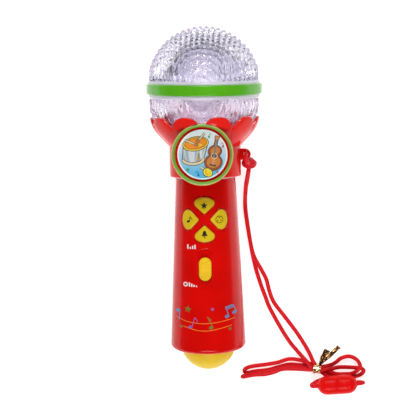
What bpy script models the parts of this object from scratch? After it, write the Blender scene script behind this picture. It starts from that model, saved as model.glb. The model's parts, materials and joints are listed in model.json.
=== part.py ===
"""Toy microphone with a clear studded globe, a petal crown, sound buttons and a neck cord.

Everything but the neck cord is drawn in the microphone's own frame, as if it stood up: the long axis
is Z, the bottom rim is at Z = 0, the buttons face -Y. An empty then lays the microphone on its back,
so that in the world its buttons face +Z and its globe points to +Y. It rests on the lowest edge of
the green band and on the rim of the handle. The neck cord lies beside it on the surface at Z = 0 and
is drawn in world coordinates.
"""

from math import acos, asin, atan2, cos, degrees, hypot, pi, radians, sin, sqrt

import bmesh
import bpy
from mathutils import Matrix, Vector
from mathutils.geometry import convex_hull_2d

MM = 0.001
GAP = 0.3 * MM  # clearance between pieces that touch on the real toy

# Handle
HANDLE_RIM_R = 23.06 * MM
HANDLE_TOP_R = 18.2 * MM
HANDLE_TOP_Z = 104.0 * MM
HANDLE_WALL = 2.0 * MM
RIM_ROUND = 3.0 * MM
NECK_R = 16.9 * MM
NECK_TOP_Z = 108.0 * MM
FLOOR_HOLE_R = 17.0 * MM

# End dome
DOME_R = 17.0 * MM
DOME_CENTRE_Z = 3.2 * MM
DOME_NECK_R = 16.7 * MM
DOME_FLANGE_R = 20.3 * MM

# Globe and band
GLOBE_R = 34.2 * MM  # upper half
LOWER_R = 33.6 * MM  # lower half, which clears the petals
GLOBE_WALL = 2.4 * MM
BAND_R = 35.2 * MM
BAND_LOW_Z = 154.1 * MM
BAND_HIGH_Z = 161.2 * MM
BAND_ROUND = 1.5 * MM
UPPER_CENTRE_Z = 162.0 * MM
LOWER_CENTRE_Z = 154.1 * MM
GLOBE_FOOT_Z = 133.0 * MM
LIP_R = 32.4 * MM

# Crown
COLLAR_R = 21.7 * MM
COLLAR_LOW_Z = 105.0 * MM
COLLAR_HIGH_Z = 123.6 * MM
CROWN_WALL = 2.0 * MM
PETALS = 10
PETAL_TIP_Z = 141.4 * MM
PETAL_NOTCH_Z = 133.5 * MM
# The flare's outer side: radius at each height.
FLARE = [(21.7, 123.6), (22.7, 124.6), (26.6, 128.7), (30.2, 132.7), (32.0, 136.0), (33.0, 139.0), (33.3, 141.4)]

# Badge
BADGE_Z = 119.7 * MM
BADGE_FRONT_Y = -31.5 * MM
BEZEL_R = 18.3 * MM
DRUM_R = 17.6 * MM
DRUM_BACK_Y = -9.0 * MM
PICTURE_R = 14.9 * MM

# Buttons
BUTTONS_Z = 80.2 * MM
BUTTON_PROUD = 1.2 * MM
BUTTON_TRAVEL = 1.2 * MM
BUTTON_SEAT_Y = -12.6 * MM
PILL_AT = 8.6 * MM  # distance of each pill from the middle of the cluster

# Main board, mat and switch
BOARD_FRONT_Y = -7.6 * MM
BOARD_THICK = 1.4 * MM
KNOB_Z = 50.6 * MM
KNOB_SIZE = (7.5 * MM, 13.9 * MM)
KNOB_TRAVEL = 4.5 * MM
KNOB_PROUD = 1.7 * MM
RECESS_DEPTH = 1.0 * MM

# Batteries, two AA cells side by side
CELL_R = 7.25 * MM
CELL_BODY = 49.2 * MM
CELL_X = 7.6 * MM
CELL_Y = 6.8 * MM

# Battery door
DOOR_HALF_WIDTH = 12.5 * MM
DOOR_TOP_Z = 70.0 * MM
DOOR_CUT_Y = 13.3 * MM
DOOR_SCREW_Z = 64.0 * MM

# Case screws: (x, z) of each one
CASE_SCREWS = [(10.6, 98.0), (-10.6, 98.0), (16.8, 7.4), (-16.8, 7.4)]
BOSS_R = 3.2 * MM
SCREW_HEAD_R = 2.1 * MM

# Neck cord
CORD_D = 2.6 * MM
KNOT_R = 4.2 * MM
KNOT_CENTRE = (26.6, 21.6, 26.8)
CLASP_LEFT = Vector((67.0, -117.6, 8.6)) * MM
CLASP_RIGHT = Vector((91.7, -116.1, 8.6)) * MM
CLASP_R = 5.9 * MM

# Routes of the cord, in millimetres on the surface it lies on, z up.
ROUTE_A = [
    (26.2, 16.6, 28.0), (25.8, 14.4, 24.8), (25.2, 11.6, 20.9), (24.2, 7.3, 16.1), (23.6, 2.7, 11.5),
    (23.2, -1.9, 7.4), (23.2, -6.5, 5.0), (23.7, -11.6, 4.2), (25.5, -24.0, 4.1), (27.2, -33.0, 4.1),
    (28.9, -38.0, 4.0), (31.4, -42.5, 3.1), (33.8, -47.0, 1.7), (35.9, -51.5, 1.35), (37.7, -58.8, 1.35),
    (40.6, -66.0, 1.35), (47.8, -75.7, 1.35), (54.9, -85.4, 1.35), (60.4, -94.3, 1.8), (62.7, -98.6, 2.6),
]
ROUTE_B = [
    (26.1, 17.8, 23.4), (25.2, 13.9, 18.9), (24.2, 9.4, 14.0), (23.6, 4.8, 9.4), (23.2, -0.2, 5.0),
    (23.2, -5.5, 2.3), (23.7, -11.0, 1.35), (25.5, -24.0, 1.35), (26.9, -33.0, 1.35), (28.4, -40.6, 1.35),
    (29.9, -46.7, 1.35), (32.5, -55.1, 1.35), (35.1, -62.3, 1.35), (37.9, -69.6, 1.35),
    (45.1, -82.9, 1.35), (50.6, -91.5, 1.35), (54.0, -95.6, 1.6),
]
# The middle of the cord, from the knot over the lug, down through its hole and back to the knot.
LUG_LOOP = [
    (26.2, 21.9, 31.9), (25.8, 21.7, 34.2), (25.2, 23.2, 36.2), (24.8, 25.4, 36.3), (24.7, 26.8, 34.4),
    (24.7, 26.9, 32.1), (24.75, 26.9, 29.6), (25.0, 26.8, 28.2), (25.4, 26.5, 27.3),
]
TAIL_A = [
    (73.3, -112.4, 1.35), (71.0, -114.0, 1.35), (67.8, -115.3, 1.5), (65.1, -116.5, 2.4),
    (63.4, -117.4, 4.6), (63.7, -117.8, 7.2), (65.4, -117.7, 8.5), (68.5, -117.5, 8.6),
]
TAIL_B = [(75.6, -114.0, 1.9), (78.6, -115.2, 1.5), (82.0, -116.3, 1.35), (84.6, -116.5, 1.35)]
END_B = [
    (85.0, -116.5, 1.35), (88.0, -116.4, 1.35), (91.6, -116.3, 1.5), (94.4, -116.1, 2.9),
    (95.5, -116.0, 5.2), (94.6, -116.0, 7.5), (92.8, -116.1, 8.5), (90.2, -116.2, 8.6),
]

SEGMENTS = 32


def resting_tilt():
    """Angle of the axis to the surface: the line that touches the band's and the rim's round edges."""
    rim_r = HANDLE_RIM_R - RIM_ROUND
    band_r = BAND_R - BAND_ROUND
    rise = band_r - rim_r
    run = BAND_LOW_Z + BAND_ROUND - RIM_ROUND
    return atan2(rise, run) + asin((BAND_ROUND - RIM_ROUND) / hypot(rise, run))


TILT = resting_tilt()
REST_HEIGHT = (HANDLE_RIM_R - RIM_ROUND) * cos(TILT) + RIM_ROUND - RIM_ROUND * sin(TILT)
MIDDLE_Y = -((UPPER_CENTRE_Z + DOME_CENTRE_Z) * cos(TILT) + GLOBE_R - DOME_R) / 2


# ---------------------------------------------------------------- scene and materials

for old in list(bpy.data.objects):
    bpy.data.objects.remove(old)

PARTS = bpy.data.collections.new("toy_microphone")
CUTTERS = bpy.data.collections.new("cutters")
for collection in (PARTS, CUTTERS):
    bpy.context.scene.collection.children.link(collection)
CUTTERS.hide_render = True

LYING = bpy.data.objects.new("microphone_frame", None)
LYING.rotation_euler = (-(pi / 2 - TILT), 0, 0)
LYING.location = (0, MIDDLE_Y, REST_HEIGHT)
PARTS.objects.link(LYING)


def new_material(name, colour, roughness, metallic=0.0, transmission=0.0):
    material = bpy.data.materials.new(name)
    material.use_nodes = True
    shader = material.node_tree.nodes["Principled BSDF"]
    shader.inputs["Base Color"].default_value = (*colour, 1)
    shader.inputs["Roughness"].default_value = roughness
    shader.inputs["Metallic"].default_value = metallic
    shader.inputs["Transmission Weight"].default_value = transmission
    return material


RED = new_material("red_plastic", (0.70, 0.01, 0.01), 0.18)
CLEAR = new_material("clear_plastic", (0.86, 0.85, 0.92), 0.05, transmission=0.9)
GREEN = new_material("green_plastic", (0.16, 0.52, 0.02), 0.25)
BEZEL_GREEN = new_material("bezel_green", (0.30, 0.62, 0.10), 0.22)
YELLOW = new_material("yellow_plastic", (0.80, 0.60, 0.02), 0.3)
DOME_YELLOW = new_material("dome_yellow", (0.85, 0.68, 0.08), 0.4)
PRINT = new_material("picture_print", (0.40, 0.70, 0.85), 0.35)
WHITE = new_material("white_plastic", (0.85, 0.85, 0.86), 0.4)
FROSTED = new_material("frosted_plastic", (0.88, 0.88, 0.90), 0.5, transmission=0.3)
BOARD = new_material("circuit_board", (0.02, 0.22, 0.06), 0.4)
BLACK = new_material("black_plastic", (0.02, 0.02, 0.02), 0.35)
RUBBER = new_material("grey_rubber", (0.35, 0.36, 0.38), 0.7)
STEEL = new_material("steel", (0.62, 0.62, 0.64), 0.3, metallic=1)
CELL = new_material("battery_wrap", (0.05, 0.08, 0.25), 0.25, metallic=0.4)
PAPER = new_material("speaker_paper", (0.06, 0.055, 0.05), 0.85)
CORD = new_material("red_cord", (0.75, 0.02, 0.03), 0.7)
FOIL = new_material("gold_foil", (0.72, 0.48, 0.16), 0.3, metallic=1)
COPPER = new_material("wire_insulation", (0.55, 0.05, 0.04), 0.45)
LED_RED = new_material("led_red", (0.9, 0.05, 0.03), 0.1, transmission=0.5)
LED_GREEN = new_material("led_green", (0.05, 0.8, 0.1), 0.1, transmission=0.5)
LED_BLUE = new_material("led_blue", (0.05, 0.2, 0.9), 0.1, transmission=0.5)


# ---------------------------------------------------------------- modelling helpers


def add_object(name, mesh, material=None, parent=LYING):
    """A piece if it has a material, or else a cutter."""
    obj = bpy.data.objects.new(name, mesh)
    obj.parent = parent
    if material is None:
        CUTTERS.objects.link(obj)
        obj.hide_render = True
        obj.display_type = "WIRE"
    else:
        mesh.materials.clear()
        mesh.materials.append(material)
        PARTS.objects.link(obj)
        mesh.shade_smooth()
        mesh.set_sharp_from_angle(angle=radians(35))
    return obj


def boolean(obj, other, operation):
    modifier = obj.modifiers.new(f"{operation.lower()}_{other.name}", "BOOLEAN")
    modifier.operation = operation
    modifier.object = other
    modifier.solver = "EXACT"


def cut(obj, *others):
    for other in others:
        boolean(obj, other, "DIFFERENCE")


def join(obj, *others):
    for other in others:
        boolean(obj, other, "UNION")


def keep(obj, *others):
    for other in others:
        boolean(obj, other, "INTERSECT")


def turned(name, profile, material=None, segments=SEGMENTS, closed=False, parent=LYING):
    """A profile of (radius, height) points turned about Z. It runs down its outer side from the top."""
    mesh = bpy.data.meshes.new(name)
    count = len(profile)
    edges = [(i, i + 1) for i in range(count - 1)] + ([(count - 1, 0)] if closed else [])
    mesh.from_pydata([(r, 0, z) for r, z in profile], edges, [])
    obj = add_object(name, mesh, material, parent)
    screw = obj.modifiers.new("turn", "SCREW")
    screw.steps = screw.render_steps = segments
    screw.use_merge_vertices = True
    screw.merge_threshold = 0.00001
    screw.use_smooth_shade = True
    return obj


def box(name, low, high, material=None, parent=LYING):
    """A box between two corners in its parent's frame."""
    bm = bmesh.new()
    bmesh.ops.create_cube(bm, size=1)
    size = [b - a for a, b in zip(low, high)]
    centre = [(a + b) / 2 for a, b in zip(low, high)]
    bmesh.ops.scale(bm, vec=size, verts=bm.verts)
    mesh = bpy.data.meshes.new(name)
    bm.to_mesh(mesh)
    bm.free()
    obj = add_object(name, mesh, material, parent)
    obj.location = centre
    return obj


def rod(name, radius, start, end, material=None, segments=24, parent=LYING):
    """A cylinder between two points."""
    start, end = Vector(start), Vector(end)
    bm = bmesh.new()
    bmesh.ops.create_cone(bm, cap_ends=True, segments=segments, radius1=radius, radius2=radius,
                          depth=(end - start).length)
    mesh = bpy.data.meshes.new(name)
    bm.to_mesh(mesh)
    bm.free()
    obj = add_object(name, mesh, material, parent)
    obj.location = (start + end) / 2
    obj.rotation_euler = (end - start).to_track_quat("Z", "Y").to_euler()
    return obj


def plate(name, outline, thickness, material=None, parent=LYING):
    """A flat outline in the local XY plane, with its thickness centred on it."""
    data = bpy.data.curves.new(name + "_outline", "CURVE")
    data.dimensions = "2D"
    data.fill_mode = "BOTH"
    data.extrude = thickness / 2
    spline = data.splines.new("POLY")
    spline.points.add(len(outline) - 1)
    for point, (x, y) in zip(spline.points, outline):
        point.co = (x, y, 0, 1)
    spline.use_cyclic_u = True
    return curve_to_object(name, data, material, parent)


def tube(name, points, radius, material, parent=None):
    """A round cord or wire through the points, with filled ends."""
    data = bpy.data.curves.new(name + "_path", "CURVE")
    data.dimensions = "3D"
    data.bevel_depth = radius
    data.bevel_resolution = 2
    data.use_fill_caps = True
    spline = data.splines.new("POLY")
    spline.points.add(len(points) - 1)
    for point, place in zip(spline.points, points):
        point.co = (*place, 1)
    return curve_to_object(name, data, material, parent)


def curve_to_object(name, data, material, parent):
    """The curve's solid as a mesh, with its caps welded to its sides."""
    curve = bpy.data.objects.new(name + "_curve", data)
    bpy.context.scene.collection.objects.link(curve)
    graph = bpy.context.evaluated_depsgraph_get()
    mesh = bpy.data.meshes.new_from_object(curve.evaluated_get(graph))
    mesh.transform(curve.matrix_world)
    bpy.data.objects.remove(curve)
    bm = bmesh.new()
    bm.from_mesh(mesh)
    bmesh.ops.remove_doubles(bm, verts=bm.verts, dist=0.000005)
    bmesh.ops.recalc_face_normals(bm, faces=bm.faces)
    bm.to_mesh(mesh)
    bm.free()
    return add_object(name, mesh, material, parent)


def face_front(obj, y=0.0, z=0.0, x=0.0):
    """Turns an object so that its local Z points to the microphone's front, -Y."""
    obj.rotation_euler = (pi / 2, 0, 0)
    obj.location = (x, y, z)


def face_back(obj, y=0.0, z=0.0, x=0.0):
    """Turns an object so that its local Z points to the microphone's back, +Y."""
    obj.rotation_euler = (-pi / 2, 0, 0)
    obj.location = (x, y, z)


def arc(centre, radius, start, end, steps):
    """Points on an arc, with angles in degrees from +X."""
    found = []
    for i in range(steps + 1):
        angle = radians(start + (end - start) * i / steps)
        found.append((centre[0] + radius * cos(angle), centre[1] + radius * sin(angle)))
    return found


def hull(points):
    """The convex outline round the points."""
    return [points[i] for i in convex_hull_2d([Vector(p) for p in points])]


def hull_of_circles(circles, steps=20):
    """The outline of a band stretched round circles, each (x, y, radius)."""
    points = []
    for x, y, radius in circles:
        points += arc((x, y), radius, 0, 360 * (1 - 1 / steps), steps - 1)
    return hull(points)


def smooth_route(points, spacing, scale=MM):
    """Evenly spaced points on a smooth curve through the route's own points."""
    knots = [Vector(p) * scale for p in points]
    padded = [2 * knots[0] - knots[1], *knots, 2 * knots[-1] - knots[-2]]
    fine = []
    for a, b, c, d in zip(padded, padded[1:], padded[2:], padded[3:]):
        for step in range(12):
            t = step / 12
            fine.append(0.5 * (2 * b + (c - a) * t + (2 * a - 5 * b + 4 * c - d) * t * t
                               + (3 * b - a - 3 * c + d) * t ** 3))
    fine.append(knots[-1])
    length = sum((b - a).length for a, b in zip(fine, fine[1:]))
    pieces = max(2, round(length / spacing))
    found, walked, target = [fine[0]], 0.0, length / pieces
    for a, b in zip(fine, fine[1:]):
        step = (b - a).length
        while walked + step >= target - 1e-9 and len(found) < pieces:
            found.append(a.lerp(b, (target - walked) / step))
            target += length / pieces
        walked += step
    return found + [fine[-1]]


# ---------------------------------------------------------------- handle


def handle_r(z):
    """Outer radius of the tapered handle at a height."""
    share = (z - RIM_ROUND) / (HANDLE_TOP_Z - RIM_ROUND)
    return HANDLE_RIM_R + (HANDLE_TOP_R - HANDLE_RIM_R) * share


def handle_profile():
    """Closed section of the whole handle's wall, with its neck and its floor ring."""
    rim = arc((HANDLE_RIM_R - RIM_ROUND, RIM_ROUND), RIM_ROUND, 0, -90, 4)
    inner_low = HANDLE_WALL + 0.2 * MM
    return [
        (NECK_R, NECK_TOP_Z),
        (NECK_R, HANDLE_TOP_Z + 0.7 * MM),
        (HANDLE_TOP_R - 0.4 * MM, HANDLE_TOP_Z + 0.7 * MM),
        (HANDLE_TOP_R, HANDLE_TOP_Z),
        *rim,
        (FLOOR_HOLE_R, 0),
        (FLOOR_HOLE_R, HANDLE_WALL),
        (handle_r(inner_low) - HANDLE_WALL, inner_low),
        (handle_r(101 * MM) - HANDLE_WALL, 101 * MM),
        (NECK_R - HANDLE_WALL, HANDLE_TOP_Z - 0.5 * MM),
        (NECK_R - HANDLE_WALL, NECK_TOP_Z),
    ]


def cone_cutter(name, offset, low_z, high_z):
    """A solid cone that stands off the handle's outer surface by offset."""
    profile = [(0, high_z), (handle_r(high_z) + offset, high_z), (handle_r(low_z) + offset, low_z), (0, low_z)]
    return turned(name, profile, segments=96)


def handle_shell(name, wanted_side):
    """One half of the handle, parted at the plane Y = 0. wanted_side is -1 for the front."""
    shell = turned(name, handle_profile(), RED, segments=40, closed=True)
    far = 40 * MM
    low_y, high_y = (-GAP / 2, far) if wanted_side < 0 else (-far, GAP / 2)
    cut(shell, box(name + "_half", (-far, low_y, -far), (far, high_y, 130 * MM)))
    return shell


def add_bosses(shell, wanted_side):
    """Screw bosses that run from the shell's wall to the parting plane, with a hole down each."""
    for number, (x, z) in enumerate(CASE_SCREWS, 1):
        x, z = x * MM, z * MM
        boss = rod(f"{shell.name}_boss_{number}", BOSS_R, (x, wanted_side * 0.8 * MM, z),
                   (x, wanted_side * 30 * MM, z), segments=20)
        keep(boss, wall_middle)
        join(shell, boss)
        depth = 4.5 * MM if wanted_side < 0 else 40 * MM
        cut(shell, rod(f"{shell.name}_pilot_{number}", 1.5 * MM, (x, 0, z), (x, wanted_side * depth, z),
                       segments=12))


wall_middle = cone_cutter("wall_middle", -HANDLE_WALL / 2, -2 * MM, 112 * MM)
front_shell = handle_shell("front_shell", -1)
add_bosses(front_shell, -1)
rear_shell = handle_shell("rear_shell", 1)
add_bosses(rear_shell, 1)


def case_screw(number, x, z):
    """A self-tapping screw whose head sits in a counterbore in the rear shell."""
    bore_r = SCREW_HEAD_R + GAP
    surface_y = sqrt(handle_r(z) ** 2 - (abs(x) + bore_r) ** 2)
    head_y = surface_y - 3.0 * MM
    cut(rear_shell, rod(f"counterbore_{number}", bore_r, (x, head_y - GAP, z), (x, 30 * MM, z), segments=20))
    profile = [
        (0, head_y + 1.5 * MM), (1.4 * MM, head_y + 1.4 * MM), (SCREW_HEAD_R, head_y + 0.7 * MM),
        (SCREW_HEAD_R, head_y), (1.2 * MM, head_y), (1.2 * MM, -2.5 * MM), (0, -3.5 * MM),
    ]
    screw = turned(f"case_screw_{number}", profile, STEEL, segments=10)
    face_back(screw, x=x, z=z)
    slot = box(f"screw_slot_{number}", (x - 1.6 * MM, head_y + 0.9 * MM, z - 0.3 * MM),
               (x + 1.6 * MM, head_y + 3 * MM, z + 0.3 * MM))
    cut(screw, slot)


for screw_number, (screw_x, screw_z) in enumerate(CASE_SCREWS, 1):
    case_screw(screw_number, screw_x * MM, screw_z * MM)


# ---------------------------------------------------------------- battery door


def battery_door():
    """The panel at the back of the handle. It slides off past the bottom rim, along the taper."""
    side, top = DOOR_HALF_WIDTH + GAP, DOOR_TOP_Z + GAP
    cut(rear_shell, box("door_opening", (-side, DOOR_CUT_Y - GAP, -5 * MM), (side, 40 * MM, top)))
    door = turned("battery_door", handle_profile(), RED, segments=40, closed=True)
    keep(door, box("door_blank", (-DOOR_HALF_WIDTH, DOOR_CUT_Y, -5 * MM), (DOOR_HALF_WIDTH, 40 * MM, DOOR_TOP_Z)))
    inner_y = handle_r(DOOR_SCREW_Z) - HANDLE_WALL
    join(door, rod("door_boss", 3.5 * MM, (0, inner_y - 2.6 * MM, DOOR_SCREW_Z), (0, inner_y + 1.2 * MM, DOOR_SCREW_Z)))
    seat_y = inner_y - 0.4 * MM
    cut(door, rod("door_screw_hole", 1.6 * MM, (0, 0, DOOR_SCREW_Z), (0, 30 * MM, DOOR_SCREW_Z), segments=16),
        rod("door_counterbore", 2.7 * MM, (0, seat_y, DOOR_SCREW_Z), (0, 30 * MM, DOOR_SCREW_Z)))
    head_y = seat_y + GAP
    profile = [
        (0, head_y + 1.3 * MM), (1.5 * MM, head_y + 1.2 * MM), (2.3 * MM, head_y + 0.6 * MM),
        (2.3 * MM, head_y), (1.2 * MM, head_y), (1.2 * MM, inner_y - 2.4 * MM), (0, inner_y - 2.6 * MM),
    ]
    screw = turned("door_screw", profile, STEEL, segments=10)
    face_back(screw, z=DOOR_SCREW_Z)
    cut(screw, box("door_screw_slot", (-1.6 * MM, head_y + 0.7 * MM, DOOR_SCREW_Z - 0.3 * MM),
                   (1.6 * MM, head_y + 3 * MM, DOOR_SCREW_Z + 0.3 * MM)))


battery_door()


# ---------------------------------------------------------------- crown and badge


def flare_r(z):
    """Outer radius of the crown's flare at a height."""
    rows = [(r * MM, h * MM) for r, h in FLARE]
    for (r0, z0), (r1, z1) in zip(rows, rows[1:]):
        if z <= z1:
            break
    return r0 + (r1 - r0) * (z - z0) / (z1 - z0)


def crown_section(edge_z, rows):
    """Closed section of the crown at one angle: up its outer side, over the edge, down its inner side."""
    outer = [
        (NECK_R + GAP, COLLAR_LOW_Z), (COLLAR_R - 1.6 * MM, COLLAR_LOW_Z), (COLLAR_R - 0.5 * MM, COLLAR_LOW_Z + 0.5 * MM),
        (COLLAR_R, COLLAR_LOW_Z + 1.6 * MM), (COLLAR_R, COLLAR_HIGH_Z),
    ]
    inner = [
        (NECK_R + GAP, COLLAR_LOW_Z + 1.8 * MM), (COLLAR_R - CROWN_WALL, COLLAR_LOW_Z + 2.0 * MM),
        (COLLAR_R - CROWN_WALL, COLLAR_HIGH_Z + 0.8 * MM),
    ]
    for row in range(1, rows + 1):
        z = COLLAR_HIGH_Z + (edge_z - COLLAR_HIGH_Z) * row / rows
        step = 0.4 * MM
        slope = (flare_r(z) - flare_r(z - step)) / step
        stretch = CROWN_WALL / hypot(1, slope)
        outer.append((flare_r(z), z))
        inner.append((flare_r(z) - stretch, z + slope * stretch))
    return outer + inner[::-1]


def petal_crown():
    """The collar and its flare of rounded petals, lofted round the axis with a scalloped edge."""
    columns_per_petal, rows = 4, 4
    columns = PETALS * columns_per_petal
    bm = bmesh.new()
    rings = []
    for column in range(columns):
        share = 2 * (column % columns_per_petal) / columns_per_petal - 1
        edge_z = PETAL_TIP_Z - (PETAL_TIP_Z - PETAL_NOTCH_Z) * share ** 2
        angle = 2 * pi * column / columns - pi / 2
        rings.append([bm.verts.new((r * cos(angle), r * sin(angle), z)) for r, z in crown_section(edge_z, rows)])
    for ring, following in zip(rings, rings[1:] + rings[:1]):
        for i in range(len(ring)):
            j = (i + 1) % len(ring)
            bm.faces.new((ring[i], following[i], following[j], ring[j]))
    bmesh.ops.recalc_face_normals(bm, faces=bm.faces)
    mesh = bpy.data.meshes.new("petal_crown")
    bm.to_mesh(mesh)
    bm.free()
    return add_object("petal_crown", mesh, RED)


def drum_cutter():
    """The round space through crown, globe and handle that the badge sits in, wider at the bezel."""
    bezel_back, drum_back = 3.9 * MM, BADGE_FRONT_Y - DRUM_BACK_Y - GAP
    profile = [(0, 15 * MM), (BEZEL_R + GAP, 15 * MM), (BEZEL_R + GAP, -bezel_back), (DRUM_R + GAP, -bezel_back),
               (DRUM_R + GAP, drum_back), (0, drum_back)]
    space = turned("drum_space", profile, segments=56)
    face_front(space, y=BADGE_FRONT_Y, z=BADGE_Z)
    return space


crown = petal_crown()
drum_space = drum_cutter()
cut(crown, drum_space)
cut(front_shell, drum_space)

# Sound holes at the back of the collar, one in the middle and six round it.
SPEAKER_Z = 120.0 * MM
sound_holes = [(0, 0)] + arc((0, 0), 4.2 * MM, 0, 300, 5)
for hole_number, (hole_x, hole_z) in enumerate(sound_holes, 1):
    cut(crown, rod(f"sound_hole_{hole_number}", 1.1 * MM, (hole_x, 16 * MM, SPEAKER_Z - 4 * MM + hole_z),
                   (hole_x, 26 * MM, SPEAKER_Z - 4 * MM + hole_z), segments=12))

# The lug at the crown's right side: a flat eye whose hole runs from front to back.
LUG_X, LUG_Z, LUG_R = 24.3 * MM, 118.2 * MM, 3.3 * MM
lug_outline = hull_of_circles([(LUG_X, LUG_Z, LUG_R), (LUG_X - 3.2 * MM, LUG_Z, LUG_R)])
lug = plate("lug_blank", lug_outline, 4.0 * MM)
face_front(lug)
cut(lug, rod("lug_space", COLLAR_R - 1.0 * MM, (0, 0, 110 * MM), (0, 0, 124 * MM), segments=60))
join(crown, lug)
cut(crown, rod("lug_hole", 1.8 * MM, (LUG_X + 0.4 * MM, -10 * MM, LUG_Z), (LUG_X + 0.4 * MM, 10 * MM, LUG_Z), segments=20))


def badge():
    """Green bezel, red drum and picture disc. Heights are measured from the bezel's front."""
    bezel = [
        (17.5, 0), (18.1, -0.35), (18.3, -1.0), (18.3, -3.6), (16.4, -3.6), (16.4, -2.6), (16.9, -0.5),
    ]
    back = (BADGE_FRONT_Y - DRUM_BACK_Y) / MM
    drum = [
        (0, -3.4), (15.2, -3.4), (15.2, -2.9), (16.1, -2.9), (16.1, -3.9), (17.6, -3.9), (17.6, back),
        (16.0, back), (16.0, -5.4), (0, -5.4),
    ]
    picture = [(0, -2.5), (14.6, -2.5), (14.9, -2.7), (14.9, -3.1), (0, -3.1)]
    for name, profile, material, closed in (("badge_bezel", bezel, BEZEL_GREEN, True),
                                            ("badge_cup", drum, RED, False),
                                            ("badge_picture", picture, PRINT, False)):
        profile = [(r * MM, h * MM) for r, h in profile]
        piece = turned(name, profile, material, segments=36, closed=closed)
        face_front(piece, y=BADGE_FRONT_Y, z=BADGE_Z)


badge()


# ---------------------------------------------------------------- globe


def sphere_arc(centre_z, radius, start, end, steps):
    return arc((0, centre_z), radius, start, end, steps)


def globe():
    """Two clear shells that meet inside the green band, and the band itself."""
    inner_r = GLOBE_R - GLOBE_WALL
    upper_z, lower_z = BAND_HIGH_Z + GAP, BAND_LOW_Z - GAP
    upper = [(0, UPPER_CENTRE_Z + GLOBE_R)] + sphere_arc(UPPER_CENTRE_Z, GLOBE_R, 78, 0, 7)
    upper += [(GLOBE_R, upper_z), (LIP_R, upper_z), (LIP_R, 157.9 * MM), (inner_r - 0.6 * MM, 157.9 * MM)]
    upper += [(inner_r, UPPER_CENTRE_Z)] + sphere_arc(UPPER_CENTRE_Z, inner_r, 15, 75, 4)
    upper += [(0, UPPER_CENTRE_Z + inner_r)]
    turned("globe_upper", upper, CLEAR)

    inner_r = LOWER_R - GLOBE_WALL
    foot = degrees(asin((GLOBE_FOOT_Z - LOWER_CENTRE_Z) / LOWER_R))
    inner_foot_z = GLOBE_FOOT_Z + 2 * MM
    inner_foot = degrees(asin((inner_foot_z - LOWER_CENTRE_Z) / inner_r))
    lower = [(inner_r - 0.4 * MM, 157.6 * MM), (LIP_R, 157.6 * MM), (LIP_R, lower_z)]
    lower += sphere_arc(LOWER_CENTRE_Z, LOWER_R, -1, foot, 5)
    lower += [(19 * MM, GLOBE_FOOT_Z), (19 * MM, inner_foot_z)]
    lower += sphere_arc(LOWER_CENTRE_Z, inner_r, inner_foot, -1, 4)
    cut(turned("globe_lower", lower, CLEAR, closed=True), drum_space)

    band = arc((BAND_R - BAND_ROUND, BAND_HIGH_Z - BAND_ROUND), BAND_ROUND, 90, 0, 2)
    band += arc((BAND_R - BAND_ROUND, BAND_LOW_Z + BAND_ROUND), BAND_ROUND, 0, -90, 2)
    band += [(LIP_R + GAP, BAND_LOW_Z), (LIP_R + GAP, BAND_HIGH_Z)]
    turned("equator_band", band, GREEN, segments=40, closed=True)


globe()


def lamp():
    """White reflector plate, round board with three LEDs, and the frosted ball over them."""
    turned("reflector_plate", [(0, 139.1 * MM), (26.0 * MM, 139.1 * MM), (26.0 * MM, 137.9 * MM), (0, 137.9 * MM)], WHITE)
    turned("led_board", [(0, 140.6 * MM), (9.4 * MM, 140.6 * MM), (9.4 * MM, 139.4 * MM), (0, 139.4 * MM)], BOARD,
           segments=32)
    for number, (name, material) in enumerate((("led_red", LED_RED), ("led_green", LED_GREEN), ("led_blue", LED_BLUE))):
        angle = radians(90 + 120 * number)
        profile = [(0, 147.2 * MM)] + arc((0, 144.7 * MM), 2.5 * MM, 60, 0, 2)
        profile += [(2.5 * MM, 141.7 * MM), (2.9 * MM, 141.7 * MM), (2.9 * MM, 140.9 * MM), (0, 140.9 * MM)]
        led = turned(name, profile, material, segments=12)
        led.location = (5 * MM * cos(angle), 5 * MM * sin(angle), 0)
    centre_z, radius, wall = 153.0 * MM, 14.2 * MM, 1.2 * MM
    neck_r = 10.9 * MM
    low = -degrees(acos(neck_r / radius))
    inner_low = -degrees(acos((neck_r - wall) / (radius - wall)))
    ball = [(0, centre_z + radius)] + sphere_arc(centre_z, radius, 72, low, 6)
    ball += [(neck_r, 139.4 * MM), (neck_r - wall, 139.4 * MM)]
    ball += sphere_arc(centre_z, radius - wall, inner_low, 70, 5) + [(0, centre_z + radius - wall)]
    turned("led_diffuser", ball, FROSTED, segments=24)


lamp()


def end_dome():
    """The yellow dome that shows through the handle's floor, held by its flange."""
    wall = 1.6 * MM
    inner_r = DOME_R - wall
    rim_angle = degrees(asin(-DOME_CENTRE_Z / DOME_R))
    profile = [(0, DOME_CENTRE_Z - inner_r)] + sphere_arc(DOME_CENTRE_Z, inner_r, -72, -8, 4)
    profile += [(inner_r, 3.9 * MM), (DOME_FLANGE_R, 3.9 * MM), (DOME_FLANGE_R, HANDLE_WALL + GAP)]
    profile += [(DOME_NECK_R, HANDLE_WALL + GAP), (DOME_NECK_R, 0)]
    profile += sphere_arc(DOME_CENTRE_Z, DOME_R, rim_angle - 8, -78, 5) + [(0, DOME_CENTRE_Z - DOME_R)]
    turned("end_dome", profile, DOME_YELLOW)


end_dome()


# ---------------------------------------------------------------- buttons


def button_outline(grow):
    """A quarter-fan with round corners that points at the middle of the cluster, opened by grow."""
    corner, side, tip = 2.65 * MM + grow, 3.3 * MM, 1.1 * MM + grow
    big_r, big_z = 9.1 * MM + grow, 4.36 * MM
    points = arc((0, 4.7 * MM), tip, 200, 340, 4)
    points += arc((side, 9.9 * MM), corner, -40, 55, 4) + arc((-side, 9.9 * MM), corner, 125, 220, 4)
    points += arc((0, big_z), big_r, 62, 118, 4)
    return hull(points)


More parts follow.
